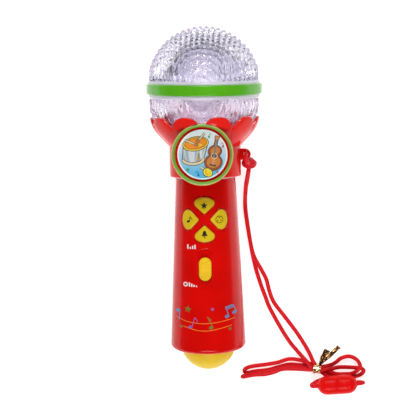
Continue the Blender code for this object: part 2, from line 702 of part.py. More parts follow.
def turned_outline(outline, angle):
    return [(x * cos(angle) - y * sin(angle), x * sin(angle) + y * cos(angle)) for x, y in outline]


def fan_prism(name, grow, angle, front_y, back_y, material=None):
    prism = plate(name, turned_outline(button_outline(grow), angle), back_y - front_y, material)
    face_front(prism, y=(front_y + back_y) / 2, z=BUTTONS_Z)
    return prism


proud_cone = cone_cutter("button_face", BUTTON_PROUD, 60 * MM, 100 * MM)
under_cone = cone_cutter("under_wall", -HANDLE_WALL - 0.35 * MM, 60 * MM, 100 * MM)
pills = []
for button_name, turn in (("top", 0), ("left", 90), ("bottom", 180), ("right", 270)):
    turn = radians(turn)
    cap = fan_prism(f"button_{button_name}", 0, turn, -30 * MM, BUTTON_SEAT_Y, YELLOW)
    keep(cap, proud_cone)
    flange = fan_prism(f"flange_{button_name}", 0.9 * MM, turn, BUTTON_SEAT_Y - 1.0 * MM, BUTTON_SEAT_Y + 0.2 * MM)
    keep(flange, under_cone)
    join(cap, flange)
    cut(front_shell, fan_prism(f"socket_{button_name}", 0.35 * MM, turn, -30 * MM, -8 * MM))
    pill_x, pill_z = -PILL_AT * sin(turn), BUTTONS_Z + PILL_AT * cos(turn)
    pills.append((pill_x, pill_z))
    seat = BUTTON_SEAT_Y + 0.2 * MM + GAP
    low = BOARD_FRONT_Y - BUTTON_TRAVEL - 0.2 * MM
    shoulder = -10.6 * MM
    pill_profile = [(0, -seat), (3.0 * MM, -seat), (3.0 * MM, -shoulder), (2.3 * MM, -shoulder), (2.3 * MM, -low), (0, -low)]
    pill = turned(f"key_pill_{button_name}", pill_profile, RUBBER, segments=12)
    face_front(pill, x=pill_x, z=pill_z)


# ---------------------------------------------------------------- board, mat, switch


def electronics():
    board_back_y = BOARD_FRONT_Y + BOARD_THICK
    box("main_board", (-11.6 * MM, BOARD_FRONT_Y, 36 * MM), (11.6 * MM, board_back_y, 94 * MM), BOARD)
    mat = box("keypad_mat", (-11.5 * MM, BOARD_FRONT_Y - 1.6 * MM, 66.5 * MM),
              (11.5 * MM, BOARD_FRONT_Y - GAP, 93.8 * MM), RUBBER)
    for number, (x, z) in enumerate(pills, 1):
        cut(mat, rod(f"mat_hole_{number}", 2.7 * MM, (x, -20 * MM, z), (x, 0, z), segments=12))
    chip = turned("sound_chip", [(0, 2.0 * MM), (2.6 * MM, 1.7 * MM), (4.4 * MM, 0.9 * MM), (5.0 * MM, 0), (0, 0)], BLACK,
                  segments=20)
    face_back(chip, y=board_back_y + GAP, z=84 * MM, x=2 * MM)
    can_front_y = -12.0 * MM
    can = box("switch_can", (-4.2 * MM, can_front_y, KNOB_Z - 6.5 * MM),
              (4.2 * MM, BOARD_FRONT_Y - GAP, KNOB_Z + 10.5 * MM), STEEL)
    cut(can, box("can_slot", (-1.4 * MM, can_front_y - 2 * MM, KNOB_Z - 2.2 * MM),
                 (1.4 * MM, can_front_y + 1.8 * MM, KNOB_Z + KNOB_TRAVEL + 2.2 * MM)))
    box("switch_lever", (-1.1 * MM, -14.6 * MM, KNOB_Z - 1.8 * MM), (1.1 * MM, can_front_y + 1.4 * MM, KNOB_Z + 1.8 * MM),
        BLACK)


electronics()


def stadium(width, low_z, high_z):
    """An upright slot outline with round ends."""
    radius = width / 2
    return arc((0, high_z - radius), radius, 0, 180, 10) + arc((0, low_z + radius), radius, 180, 360, 10)


def slide_switch():
    """Yellow knob in a shallow recess that leaves it room to slide towards the globe."""
    width, height = KNOB_SIZE
    low, high = KNOB_Z - height / 2, KNOB_Z + height / 2
    recess = plate("recess", stadium(width + 0.9 * MM, low - 0.4 * MM, high + KNOB_TRAVEL + 0.6 * MM), 30 * MM)
    face_front(recess, y=-20 * MM)
    cut(recess, cone_cutter("recess_floor", -RECESS_DEPTH, 30 * MM, 75 * MM))
    cut(front_shell, recess)
    cut(front_shell, box("stem_slot", (-1.9 * MM, -30 * MM, KNOB_Z - 3.4 * MM),
                         (1.9 * MM, -12 * MM, KNOB_Z + 3.4 * MM + KNOB_TRAVEL)))
    knob = plate("slide_knob", stadium(width, low, high), 30 * MM, YELLOW)
    face_front(knob, y=-20 * MM)
    keep(knob, cone_cutter("knob_face", KNOB_PROUD, 30 * MM, 75 * MM))
    cut(knob, cone_cutter("knob_floor", -RECESS_DEPTH + GAP, 30 * MM, 75 * MM))
    join(knob, box("knob_stem", (-1.5 * MM, -21 * MM, KNOB_Z - 3.0 * MM), (1.5 * MM, -14.9 * MM, KNOB_Z + 3.0 * MM)))


slide_switch()


# ---------------------------------------------------------------- batteries


def batteries():
    """Two AA cells in a tray that opens to the back, with springs, a bridge and a plate."""
    floor_y = CELL_Y - CELL_R - GAP
    tray = box("battery_tray", (-15.4 * MM, floor_y - 1.2 * MM, 11.0 * MM), (15.4 * MM, 8.0 * MM, 70.0 * MM), BLACK)
    cut(tray, box("tray_space", (-14.95 * MM, floor_y, 12.2 * MM), (14.95 * MM, 20 * MM, 68.8 * MM)))
    for number, side, low_z, nub_side in ((1, -1, 17.4 * MM, 1), (2, 1, 14.3 * MM, -1)):
        high_z = low_z + CELL_BODY
        nub_z = high_z + 1.0 * MM if nub_side > 0 else low_z - 1.0 * MM
        nub_r = 2.75 * MM
        if nub_side > 0:
            profile = [(0, nub_z), (nub_r, nub_z), (nub_r, high_z), (CELL_R - 0.5 * MM, high_z),
                       (CELL_R, high_z - 0.5 * MM), (CELL_R, low_z), (0, low_z)]
        else:
            profile = [(0, high_z), (CELL_R, high_z), (CELL_R, low_z + 0.5 * MM), (CELL_R - 0.5 * MM, low_z),
                       (nub_r, low_z), (nub_r, nub_z), (0, nub_z)]
        cell = turned(f"battery_{number}", profile, CELL, segments=20)
        cell.location = (side * CELL_X, CELL_Y, 0)
    box("contact_bridge", (-11.5 * MM, 2 * MM, 12.5 * MM), (11.5 * MM, 8 * MM, 12.9 * MM), STEEL)
    box("contact_plate", (-11.5 * MM, 2 * MM, 68.0 * MM), (-3.5 * MM, 8 * MM, 68.4 * MM), STEEL)
    for number, side, low_z, high_z in ((1, -1, 13.2 * MM, 17.1 * MM), (2, 1, 63.8 * MM, 68.4 * MM)):
        turns, steps, wire_r = 3, 7, 0.4 * MM
        path = []
        for i in range(turns * steps + 1):
            share = i / (turns * steps)
            angle = 2 * pi * turns * share
            wide = share if low_z > 40 * MM else 1 - share
            radius = (3.0 + 2.2 * wide) * MM
            height = low_z + wire_r + (high_z - low_z - 2 * wire_r) * share
            path.append((side * CELL_X + radius * cos(angle), CELL_Y + radius * sin(angle), height))
        tube(f"contact_spring_{number}", path, wire_r, STEEL, parent=LYING)


batteries()


# ---------------------------------------------------------------- speaker and wires


def speaker():
    """A small loudspeaker that faces the sound holes at the back of the collar."""
    frame_profile = [
        (11.0, 12.4), (11.0, 11.2), (9.6, 11.2), (7.4, 7.0), (7.4, 5.8), (0, 5.8), (0, 6.8), (6.4, 6.8),
        (8.8, 11.6), (10.4, 12.4),
    ]
    first_axis = frame_profile.index((0, 6.8))
    ordered = frame_profile[first_axis:] + frame_profile[:first_axis]
    frame = turned("speaker_frame", [(r * MM, h * MM) for r, h in ordered], STEEL, segments=24)
    magnet = turned("speaker_magnet", [(0, 5.5 * MM), (6.6 * MM, 5.5 * MM), (7.0 * MM, 5.1 * MM), (7.0 * MM, 1.2 * MM),
                                       (0, 1.2 * MM)], BLACK, segments=20)
    cone_profile = [(0, 9.4), (2.6, 8.7), (8.0, 12.4), (9.6, 12.9), (9.6, 12.4), (8.3, 11.7), (2.9, 7.6), (0, 7.6)]
    cone = turned("speaker_cone", [(r * MM, h * MM) for r, h in cone_profile], PAPER, segments=20)
    for piece in (frame, magnet, cone):
        face_back(piece, z=SPEAKER_Z)


speaker()

wire_r = 0.7 * MM
WIRES = {
    "led_wire": [(5.0, -5.0, 94.8), (5.3, -4.4, 99.0), (7.5, -3.8, 106.0), (11.5, -3.4, 113.0), (13.0, -2.8, 122.0),
                 (12.0, -0.5, 131.0), (8.0, 1.0, 136.8)],
    "speaker_wire": [(-5.0, -5.0, 94.8), (-5.5, -3.0, 100.0), (-6.5, -1.0, 106.0), (-8.6, 1.5, 112.0),
                     (-8.8, 4.8, 116.0)],
    "battery_wire": [(4.0, 3.0, 70.7), (4.0, 1.5, 73.0), (3.5, -1.5, 75.0), (3.0, -5.2, 76.0)],
}
for wire_name, wire_route in WIRES.items():
    tube(wire_name, smooth_route(wire_route, 4 * MM), wire_r, COPPER, parent=LYING)


# ---------------------------------------------------------------- neck cord


def neck_cord():
    """Both strands run from the knot to the hank, and each ends in one half of the clasp."""
    spacing = 2.3 * CORD_D
    for name, route in (("cord_strand_a", ROUTE_A), ("cord_strand_b", ROUTE_B)):
        tube(name, smooth_route(route, spacing), CORD_D / 2, CORD)
    for name, route in (("cord_tail_a", TAIL_A), ("cord_tail_b", TAIL_B), ("cord_end_b", END_B)):
        tube(name, smooth_route(route, 0.7 * CORD_D), CORD_D / 2, CORD)

    tube("cord_lug_loop", smooth_route(LUG_LOOP, 0.7 * CORD_D), CORD_D / 2, CORD)
    knot_profile = [(0, KNOT_R)] + arc((0, 0), KNOT_R, 60, -60, 4) + [(0, -KNOT_R)]
    knot = turned("cord_knot", knot_profile, CORD, segments=16, parent=None)
    knot.location = Vector(KNOT_CENTRE) * MM


def cord_hank():
    """The folded cord as one solid of its outer shape, with a narrow waist under the tie."""
    def lobe(name, circles, height, material=None):
        outline = hull_of_circles([(x * MM, y * MM, r * MM) for x, y, r in circles])
        piece = plate(name, outline, height, material, parent=None)
        piece.location.z = height / 2 + 0.05 * MM
        return piece

    hank = lobe("cord_hank", [(23.6, -109.6, 4.2), (36.0, -107.6, 4.9), (55.0, -103.6, 3.4), (60.0, -106.6, 4.2)],
                7.3 * MM, CORD)
    right = lobe("hank_right", [(74.2, -108.0, 3.2), (82.5, -105.0, 5.4), (89.0, -105.4, 6.6), (92.8, -109.9, 4.6)], 2.9 * MM)
    waist = box("hank_waist", (58 * MM, -109.6 * MM, 0.9 * MM), (76 * MM, -104.6 * MM, 7.0 * MM), parent=None)
    join(hank, right, waist)


def twist_tie():
    """A foil strip wound round the hank's waist, with its two ends sticking up."""
    ring = box("twist_tie", (64.4 * MM, -110.4 * MM, 0.05 * MM), (69.0 * MM, -103.8 * MM, 7.8 * MM), FOIL, parent=None)
    cut(ring, box("tie_space", (60 * MM, -109.9 * MM, 0.6 * MM), (72 * MM, -104.3 * MM, 7.3 * MM), parent=None))
    for number, (end, width) in enumerate((((73.6, -95.0, 9.2), 3.0), ((80.8, -92.9, 10.4), 2.7)), 1):
        start = Vector((67.3, -104.0, 7.6)) * MM
        end = Vector(end) * MM
        length = (end - start).length
        strip = box(f"tie_tail_{number}", (-width / 2 * MM, -0.3 * MM, 0), (width / 2 * MM, 0.3 * MM, length), parent=None)
        turn = (end - start).to_track_quat("Z", "Y").to_matrix().to_4x4()
        strip.matrix_world = Matrix.Translation(start) @ turn @ Matrix.Translation((0, 0, length / 2))
        join(ring, strip)


def clasp():
    """Two halves that pull apart: a spigot on half a sits in a socket in half b."""
    axis = CLASP_RIGHT - CLASP_LEFT
    half = axis.length / 2
    middle = (CLASP_LEFT + CLASP_RIGHT) / 2
    bore_r, bore_depth = 1.65 * MM, 3.0 * MM
    spigot_r, spigot_long, play = 3.4 * MM, 4.5 * MM, GAP
    end_r = CLASP_R - 0.1 * MM
    nose = [(bore_r, half - bore_depth), (bore_r, half - 0.1 * MM)]
    for step in range(1, 4):
        angle = radians(18 + 22 * step)
        nose.append((end_r * sin(angle), half - end_r + end_r * cos(angle)))
    plug = [(0, half - bore_depth)] + nose + [(CLASP_R, half - end_r), (CLASP_R, GAP / 2), (spigot_r, GAP / 2),
                                              (spigot_r, -spigot_long + 0.6 * MM), (spigot_r - 0.6 * MM, -spigot_long),
                                              (0, -spigot_long)]
    socket = [(0, half - bore_depth)] + nose + [(CLASP_R, half - end_r), (CLASP_R, GAP / 2), (spigot_r + play, GAP / 2),
                                                (spigot_r + play, spigot_long + 0.5 * MM), (0, spigot_long + 0.5 * MM)]
    half_a = turned("clasp_half_a", plug, RED, segments=20, parent=None)
    half_b = turned("clasp_half_b", socket, RED, segments=20, parent=None)
    for piece, direction in ((half_a, -axis), (half_b, axis)):
        piece.location = middle
        piece.rotation_euler = direction.to_track_quat("Z", "Y").to_euler()


neck_cord()
cord_hank()
twist_tie()
clasp()
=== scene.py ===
"""Looks for the toy microphone: clear studded globe, petal crown, badge, sound buttons and neck cord.

The microphone's pieces are drawn in its own frame, in millimetres: Z runs along it from the handle's
rim to the globe, its buttons face -Y. The cord is drawn in millimetres on the surface it lies on.
"""

import json
from math import cos, hypot, pi, radians, sin, sqrt

import bmesh
import bpy
from mathutils import Matrix, Vector
from mathutils.geometry import tessellate_polygon


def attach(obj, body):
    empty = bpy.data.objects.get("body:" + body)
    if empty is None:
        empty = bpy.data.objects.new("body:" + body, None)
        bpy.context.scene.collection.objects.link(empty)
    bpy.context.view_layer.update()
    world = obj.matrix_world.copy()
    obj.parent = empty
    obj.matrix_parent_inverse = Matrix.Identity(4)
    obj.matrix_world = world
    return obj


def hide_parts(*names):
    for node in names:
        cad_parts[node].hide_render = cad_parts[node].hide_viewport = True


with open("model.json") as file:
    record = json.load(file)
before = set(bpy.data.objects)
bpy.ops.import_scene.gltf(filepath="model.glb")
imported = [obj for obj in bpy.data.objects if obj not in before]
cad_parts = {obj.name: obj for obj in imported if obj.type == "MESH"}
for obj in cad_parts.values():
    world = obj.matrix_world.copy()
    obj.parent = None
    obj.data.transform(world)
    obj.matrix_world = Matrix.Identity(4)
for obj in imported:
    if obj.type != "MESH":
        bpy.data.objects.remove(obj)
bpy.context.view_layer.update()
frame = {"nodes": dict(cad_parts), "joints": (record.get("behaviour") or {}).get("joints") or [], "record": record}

MM = 0.001
ROOT = "microphone"

# MIC is the microphone's own frame, from the flat rim's mount and the direction that the buttons press in.
# TABLE is the surface's frame, for the cord.
MOUNTS = {mount["name"]: mount for mount in frame["record"]["mounts"]}
JOINTS = {joint["name"]: joint for joint in frame["joints"]}
RIM_R = 18.6  # where on the rim the mount's point is, towards the buttons
AXIS = -Vector(MOUNTS["handle_rim"]["axis"]).normalized()
INWARD = Vector(JOINTS["press_top"]["axis"]).normalized()
RIM_CENTRE = Vector(MOUNTS["handle_rim"]["pos_m"]) + INWARD * RIM_R * MM
MIC = Matrix.Translation(RIM_CENTRE) @ Matrix((Vector((1, 0, 0)), INWARD, AXIS)).transposed().to_4x4()
MIC = MIC @ Matrix.Scale(MM, 4)
TABLE = Matrix.Scale(MM, 4)
ON_AXIS = 1e-6  # a radius below this is on the axis

# ---- camera

CAMERA_AT = Vector((0.04956, -0.00039, 0.89697))
CAMERA_FORWARD = Vector((-0.06129, -0.00034, -0.99812))
CAMERA_ROLL = radians(-1.0026)
FOCAL_PER_FRAME = 3.5503  # focal length over the frame's width


def add_camera():
    forward = CAMERA_FORWARD.normalized()
    right = forward.cross(AXIS).normalized()
    up = right.cross(forward)
    right, up = (right * cos(CAMERA_ROLL) + up * sin(CAMERA_ROLL),
                 up * cos(CAMERA_ROLL) - right * sin(CAMERA_ROLL))
    data = bpy.data.cameras.new("camera")
    data.sensor_width = 36
    data.lens = FOCAL_PER_FRAME * data.sensor_width
    data.clip_start = 0.01
    camera = bpy.data.objects.new("camera", data)
    camera.matrix_world = Matrix.Translation(CAMERA_AT) @ Matrix((right, up, -forward)).transposed().to_4x4()
    bpy.context.scene.collection.objects.link(camera)
    bpy.context.scene.camera = camera


add_camera()


# ---- materials


class Nodes:
    """Builds a material's node tree in few words."""

    def __init__(self, name):
        self.material = bpy.data.materials.new(name)
        self.material.use_nodes = True
        self.tree = self.material.node_tree
        self.shader = self.tree.nodes["Principled BSDF"]
        self.output = self.tree.nodes["Material Output"]

    def add(self, kind, inputs=None, **settings):
        node = self.tree.nodes.new(kind)
        for key, value in settings.items():
            setattr(node, key, value)
        for key, value in (inputs or {}).items():
            self.put(node.inputs[key], value)
        return node

    def put(self, socket, value):
        if isinstance(value, bpy.types.NodeSocket):
            self.tree.links.new(value, socket)
        elif hasattr(value, "outputs"):
            self.tree.links.new(value.outputs[0], socket)
        else:
            socket.default_value = value

    def math(self, operation, first, second=0.0, third=0.0):
        return self.add("ShaderNodeMath", {0: first, 1: second, 2: third}, operation=operation)

    def mix(self, share, first, second):
        node = self.add("ShaderNodeMix", data_type="RGBA")
        for socket, value in (("Factor", share), (6, first), (7, second)):
            self.put(node.inputs[socket], value)
        return node.outputs[2]

    def noise(self, scale, detail, coordinate=None, roughness=0.5):
        return self.add("ShaderNodeTexNoise", {
            "Vector": coordinate or self.place(), "Scale": scale, "Detail": detail, "Roughness": roughness,
        }).outputs["Fac"]

    def place(self):
        """Where the shaded point is in its object's own frame."""
        return self.add("ShaderNodeTexCoord").outputs["Object"]

    def span(self, value, low, high, from_low=0.0, from_high=1.0):
        return self.add("ShaderNodeMapRange", {0: value, 1: from_low, 2: from_high, 3: low, 4: high}).outputs[0]

    def bump(self, height, strength, distance):
        return self.add("ShaderNodeBump", {"Height": height, "Strength": strength, "Distance": distance})

    def principled(self, **values):
        for key, value in values.items():
            self.put(self.shader.inputs[key.replace("_", " ")], value)
        return self.material


def colour4(colour, factor=1.0):
    return (*(min(1.0, part * factor) for part in colour), 1)


def plastic(name, colour, roughness=0.2, gloss=0.5, coat=0.0, unit=MM):
    """Moulded plastic: slow colour drift, fine ripple and uneven gloss. unit is metres per object unit."""
    nodes = Nodes(name)
    drift, grain, ripple = (nodes.noise(scale * unit, 2) for scale in (60, 2600, 320))
    tint = nodes.mix(nodes.span(drift, 0, 1, 0.35, 0.65), colour4(colour, 0.94), colour4(colour, 1.06))
    relief = nodes.math("MULTIPLY_ADD", grain, 0.12, ripple)
    return nodes.principled(
        Base_Color=tint, Roughness=nodes.span(grain, roughness * 0.8, roughness * 1.25, 0.3, 0.7),
        Normal=nodes.bump(relief, 0.016, 0.0004 / unit), Coat_Weight=coat, Coat_Roughness=0.06,
        IOR=1.5, Specular_IOR_Level=gloss)


def clear_plastic(name, tint, painted_edge_shade, roughness, ior, steep=(0.42, 0.82), clear=1.0):
    """Clear moulded plastic. Facets seen edge-on get painted shade in their colour, over the steep range, and
    lamps shine through.
    """
    nodes = Nodes(name)
    ripple, grain = (nodes.noise(scale * MM, 2) for scale in (240, 1500))
    facing = nodes.add("ShaderNodeLayerWeight", {"Blend": 0.5}).outputs["Facing"]
    share = nodes.math("ADD", nodes.span(ripple, -0.06, 0.06, 0.35, 0.65), nodes.span(facing, 0, 1, *steep))
    # painted shade: the colour runs from the tint to the darker edge colour as facets turn edge-on
    tone = nodes.mix(nodes.span(share, 0, 1), colour4(tint), colour4(painted_edge_shade))
    nodes.principled(
        Base_Color=tone, Roughness=nodes.span(grain, roughness * 0.8, roughness * 1.2, 0.3, 0.7),
        Transmission_Weight=clear, IOR=ior, Normal=nodes.bump(ripple, 0.04, 0.0003 / MM))
    open_side = nodes.add("ShaderNodeBsdfTransparent", {"Color": colour4(tint, 0.97)})
    shadow = nodes.add("ShaderNodeLightPath").outputs["Is Shadow Ray"]
    mixed = nodes.add("ShaderNodeMixShader", {0: shadow, 1: nodes.shader.outputs[0], 2: open_side})
    nodes.put(nodes.output.inputs["Surface"], mixed)
    return nodes.material


def brushed_metal(name, colour, roughness):
    nodes = Nodes(name)
    stretched = nodes.add("ShaderNodeMapping", {"Vector": nodes.place(), "Scale": (1, 1, 15)})
    lines = nodes.noise(900, 3, stretched)
    tone = nodes.mix(lines, colour4(colour, 0.85), colour4(colour, 1.1))
    return nodes.principled(Base_Color=tone, Metallic=1.0, Normal=nodes.bump(lines, 0.08, 0.0001),
                            Roughness=nodes.span(lines, roughness * 0.7, roughness * 1.4))


def braid(name, colour, shine=0.0):
    """Braided cord, with painted shade in the grooves between its diamonds. The tube's UV map runs in cord
    diameters along it, and once round it.
    """
    nodes = Nodes(name)
    uv = nodes.add("ShaderNodeSeparateXYZ", {0: nodes.add("ShaderNodeTexCoord").outputs["UV"]})
    along = nodes.math("MULTIPLY", uv.outputs[0], 2.2)
    around = nodes.math("MULTIPLY", uv.outputs[1], 4.0)
    waves = []
    for operation in ("ADD", "SUBTRACT"):
        wave = nodes.math("SINE", nodes.math("MULTIPLY", nodes.math(operation, along, around), pi))
        waves.append(nodes.math("ABSOLUTE", wave))
    diamonds = nodes.math("MULTIPLY", *waves)
    fibre = nodes.noise(5200, 3)
    drift = nodes.noise(120, 2)
    height = nodes.math("MULTIPLY_ADD", fibre, 0.35, diamonds)
    strand_tone = nodes.mix(nodes.span(drift, 0, 1, 0.3, 0.7), colour4(colour, 0.92), colour4(colour, 1.12))
    # painted shade: the grooves between the diamonds are darkened to 0.55 of the colour
    tone = nodes.mix(nodes.span(diamonds, 0, 1, 0.02, 0.40), colour4(colour, 0.55), strand_tone)
    return nodes.principled(
        Base_Color=tone, Roughness=nodes.span(fibre, 0.5, 0.75), Normal=nodes.bump(height, 0.75, 0.00025),
        Sheen_Weight=0.12, Sheen_Roughness=0.4, Sheen_Tint=(1, 0.25, 0.25, 1), Subsurface_Weight=0.08,
        Subsurface_Scale=0.001, Specular_IOR_Level=0.2, Coat_Weight=shine, Coat_Roughness=0.1)


def foil(name, colour):
    nodes = Nodes(name)
    folds = nodes.noise(0.4, 2, roughness=0.4)
    # painted shade: the foil is darkened to 0.35 of its colour in the low places of the folds
    tone = nodes.mix(nodes.span(folds, 0, 1, 0.40, 0.62), colour4(colour, 0.35), colour4(colour))
    return nodes.principled(Base_Color=tone, Metallic=1.0, Roughness=nodes.span(folds, 0.15, 0.35),
                            Normal=nodes.bump(folds, 0.3, 0.4))


red = plastic("red_plastic", (0.72, 0.0035, 0.0020), 0.12, 0.22)
# a lighter copy of the red plastic, as painted light on the crown, with less gloss
crown_painted_lit_red = plastic("crown_painted_lit_red", (0.88, 0.018, 0.013), 0.14, 0.16)
rim_red = plastic("petal_edge_red", (0.80, 0.03, 0.02), 0.10, 0.7)
clasp_red = plastic("clasp_red", (0.86, 0.005, 0.005), 0.3, 0.10)
green = plastic("band_green", (0.105, 0.47, 0.012))
bezel_green = plastic("bezel_green", (0.22, 0.50, 0.045))
# a paler yellow-green for the bezel's outer lip, as a painted highlight
bezel_lip_highlight = plastic("bezel_lip_highlight", (0.54, 0.55, 0.12), 0.25)
yellow = plastic("button_yellow", (0.76, 0.54, 0.012), 0.22, 0.35)
knob_yellow = plastic("knob_yellow", (0.95, 0.61, 0.008), 0.3, 0.2)
dome_yellow = plastic("dome_yellow", (0.90, 0.60, 0.022), 0.38, 0.2)
# near-black red, as painted shade in the buttons' gaps and behind the switch's slot
dark_painted_shade = plastic("dark_painted_shade", (0.10, 0.002, 0.001), 0.5)
# an orange band round each button's rounded edge, as painted shade
button_edge_painted_shade = plastic("button_edge_painted_shade", (0.80, 0.24, 0.006), 0.35, 0.15)
# the reflector's white plastic painted pink, and its skirt deep pink: painted red bounce light from the crown
white = plastic("reflector_painted_red_bounce", (0.86, 0.70, 0.75), 0.45)
skirt_painted_red_bounce = plastic("skirt_painted_red_bounce", (0.72, 0.15, 0.22), 0.45)
rim_clear = plastic("globe_rim", (0.74, 0.73, 0.80), 0.12)
gasket_white = plastic("gasket_white", (0.86, 0.80, 0.80), 0.4)
ink_white = plastic("ink_white", (0.92, 0.90, 0.90), 0.4)
ink_black = plastic("ink_black", (0.012, 0.01, 0.008), 0.4)

# each clear plastic's second colour is the painted shade of its facets seen edge-on
globe_clear = clear_plastic("globe_clear", (0.87, 0.85, 0.935), (0.26, 0.24, 0.34), 0.02, 1.52, (0.32, 0.70))
globe_inside = clear_plastic("globe_inside", (0.90, 0.89, 0.96), (0.55, 0.54, 0.68), 0.15, 1.52, (0.10, 0.45))
lower_clear = clear_plastic("lower_clear", (0.875, 0.84, 0.91), (0.66, 0.58, 0.68), 0.03, 1.25)
lower_inside = clear_plastic("lower_inside", (0.97, 0.94, 0.97), (0.58, 0.53, 0.64), 0.30, 1.25, (0.10, 0.45))
frosted = clear_plastic("frosted_lens", (0.98, 0.965, 0.985), (0.86, 0.78, 0.84), 0.4, 1.22, clear=0.3)
cord_red = braid("cord_red", (0.90, 0.010, 0.020))
# a slightly lighter copy of the cord's red, as painted light on the knot and the lug's loop, with a glossier coat
painted_lit_cord_red = braid("painted_lit_cord_red", (0.95, 0.014, 0.024), shine=0.35)


# ---- mesh helpers


def smoothed(piece, sharp=30):
    """Shades the piece smooth, but for edges steeper than sharp degrees."""
    piece.data.shade_smooth()
    piece.data.set_sharp_from_angle(angle=radians(sharp))
    return piece


def from_bmesh(name, bm, material, matrix=MIC, sharp=32, recalculate=True):
    """A new piece of a bmesh that is drawn in the frame of matrix. Its faces stay flat if sharp is 0."""
    if recalculate:
        bmesh.ops.recalc_face_normals(bm, faces=bm.faces)
    mesh = bpy.data.meshes.new(name)
    bm.to_mesh(mesh)
    bm.free()
    for each in material if isinstance(material, list) else [material]:
        mesh.materials.append(each)
    piece = bpy.data.objects.new(name, mesh)
    piece.matrix_world = matrix
    bpy.context.scene.collection.objects.link(piece)
    return smoothed(piece, sharp) if sharp else piece


def settle(piece, slot=None, *instead_of, body=ROOT):
    """The piece rides on its body and stands for these CAD nodes. Its slot is not used."""
    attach(piece, body)
    if instead_of:
        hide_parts(*instead_of)
    return piece


def arc(centre, radius, start, end, steps):
    """Points on an arc, with angles in degrees from +X."""
    angles = [radians(start + (end - start) * i / steps) for i in range(steps + 1)]
    return [(centre[0] + radius * cos(a), centre[1] + radius * sin(a)) for a in angles]


def bridge(bm, first, second, closed=True):
    """Faces between two loops, or two rows, of as many vertices."""
    count = len(first)
    pairs = [(i, (i + 1) % count) for i in range(count if closed else count - 1)]
    return [bm.faces.new((first[i], first[j], second[j], second[i])) for i, j in pairs]


def skin(bm, rows, closed=True):
    """Faces between each two neighbours of several loops or rows."""
    for first, second in zip(rows, rows[1:]):
        bridge(bm, first, second, closed)


def revolve(profile, segments=128, closed=True):
    """A bmesh of the profile of (radius, height) points turned about Z. Points on the axis are shared."""
    bm = bmesh.new()
    rings = []
    for radius, height in profile:
        if radius < ON_AXIS:
            rings.append([bm.verts.new((0, 0, height))] * segments)
        else:
            angles = [2 * pi * i / segments for i in range(segments)]
            rings.append([bm.verts.new((radius * cos(a), radius * sin(a), height)) for a in angles])
    for first, second in zip(rings, rings[1:] + (rings[:1] if closed else [])):
        for i in range(segments):
            j = (i + 1) % segments
            corners = list(dict.fromkeys((first[i], first[j], second[j], second[i])))
            if len(corners) > 2:
                bm.faces.new(corners)
    return bm


def turned(name, profile, material, segments=128, closed=True, matrix=MIC):
    return from_bmesh(name, revolve(profile, segments, closed), material, matrix)


def smooth_route(points, spacing):
    """Evenly spaced points on a smooth curve through the route's own points."""
    knots = [Vector(p) for p in points]
    padded = [2 * knots[0] - knots[1], *knots, 2 * knots[-1] - knots[-2]]
    fine = []
    for a, b, c, d in zip(padded, padded[1:], padded[2:], padded[3:]):
        for step in range(16):
            t = step / 16
            fine.append(0.5 * (2 * b + (c - a) * t + (2 * a - 5 * b + 4 * c - d) * t * t
                               + (3 * b - a - 3 * c + d) * t ** 3))
    fine.append(knots[-1])
    length = route_length(fine)
    pieces = max(2, round(length / spacing))
    found, walked, target = [fine[0]], 0.0, length / pieces
    for a, b in zip(fine, fine[1:]):
        step = (b - a).length
        while walked + step >= target - 1e-9 and len(found) < pieces:
            found.append(a.lerp(b, (target - walked) / step))
            target += length / pieces
        walked += step
    return found + [fine[-1]]


def route_length(points):
    return sum((b - a).length for a, b in zip(points, points[1:]))


def tube(name, points, radius, material, matrix=MIC, sides=12):
    """A round tube along the points with capped ends. Its UV map runs in diameters along, once round."""
    bm = bmesh.new()
    layer = bm.loops.layers.uv.new("UVMap")
    points = [Vector(p) for p in points]
    side = Vector((0, 0, 1))
    turns = [2 * pi * k / sides for k in range(sides)]
    rings, walked, marks = [], 0.0, []
    for i, point in enumerate(points):
        along = (points[min(i + 1, len(points) - 1)] - points[max(i - 1, 0)]).normalized()
        side = (side - along * side.dot(along)).normalized()
        other = along.cross(side)
        rings.append([bm.verts.new(point + radius * (side * cos(a) + other * sin(a))) for a in turns])
        walked += (point - points[i - 1]).length if i else 0.0
        marks.append(walked / (2 * radius))
    for i, (first, second) in enumerate(zip(rings, rings[1:])):
        for k, face in enumerate(bridge(bm, first, second)):
            for loop, (u, v) in zip(face.loops, ((i, k), (i, k + 1), (i + 1, k + 1), (i + 1, k))):
                loop[layer].uv = (marks[u], v / sides)
    for ring in (rings[0][::-1], rings[-1]):
        bm.faces.new(ring)
    return from_bmesh(name, bm, material, matrix, 50)


def applied(obj):
    """Applies the object's modifiers to its mesh."""
    graph = bpy.context.evaluated_depsgraph_get()
    mesh = bpy.data.meshes.new_from_object(obj.evaluated_get(graph))
    obj.modifiers.clear()
    obj.data = mesh
    return obj


def boolean(obj, cutters, operation="DIFFERENCE"):
    """Cuts the object by temporary objects, which are then removed."""
    for cutter in cutters:
        modifier = obj.modifiers.new("cut", "BOOLEAN")
        modifier.operation, modifier.object, modifier.solver = operation, cutter, "EXACT"
    applied(obj)
    for cutter in cutters:
        bpy.data.objects.remove(cutter)
    return obj


def joined(name, pieces):
    """One piece of several, keeping their materials."""
    with bpy.context.temp_override(active_object=pieces[0], selected_editable_objects=pieces, object=pieces[0]):
        bpy.ops.object.join()
    pieces[0].name = name
    return pieces[0]


# ---- shape of the microphone, in millimetres

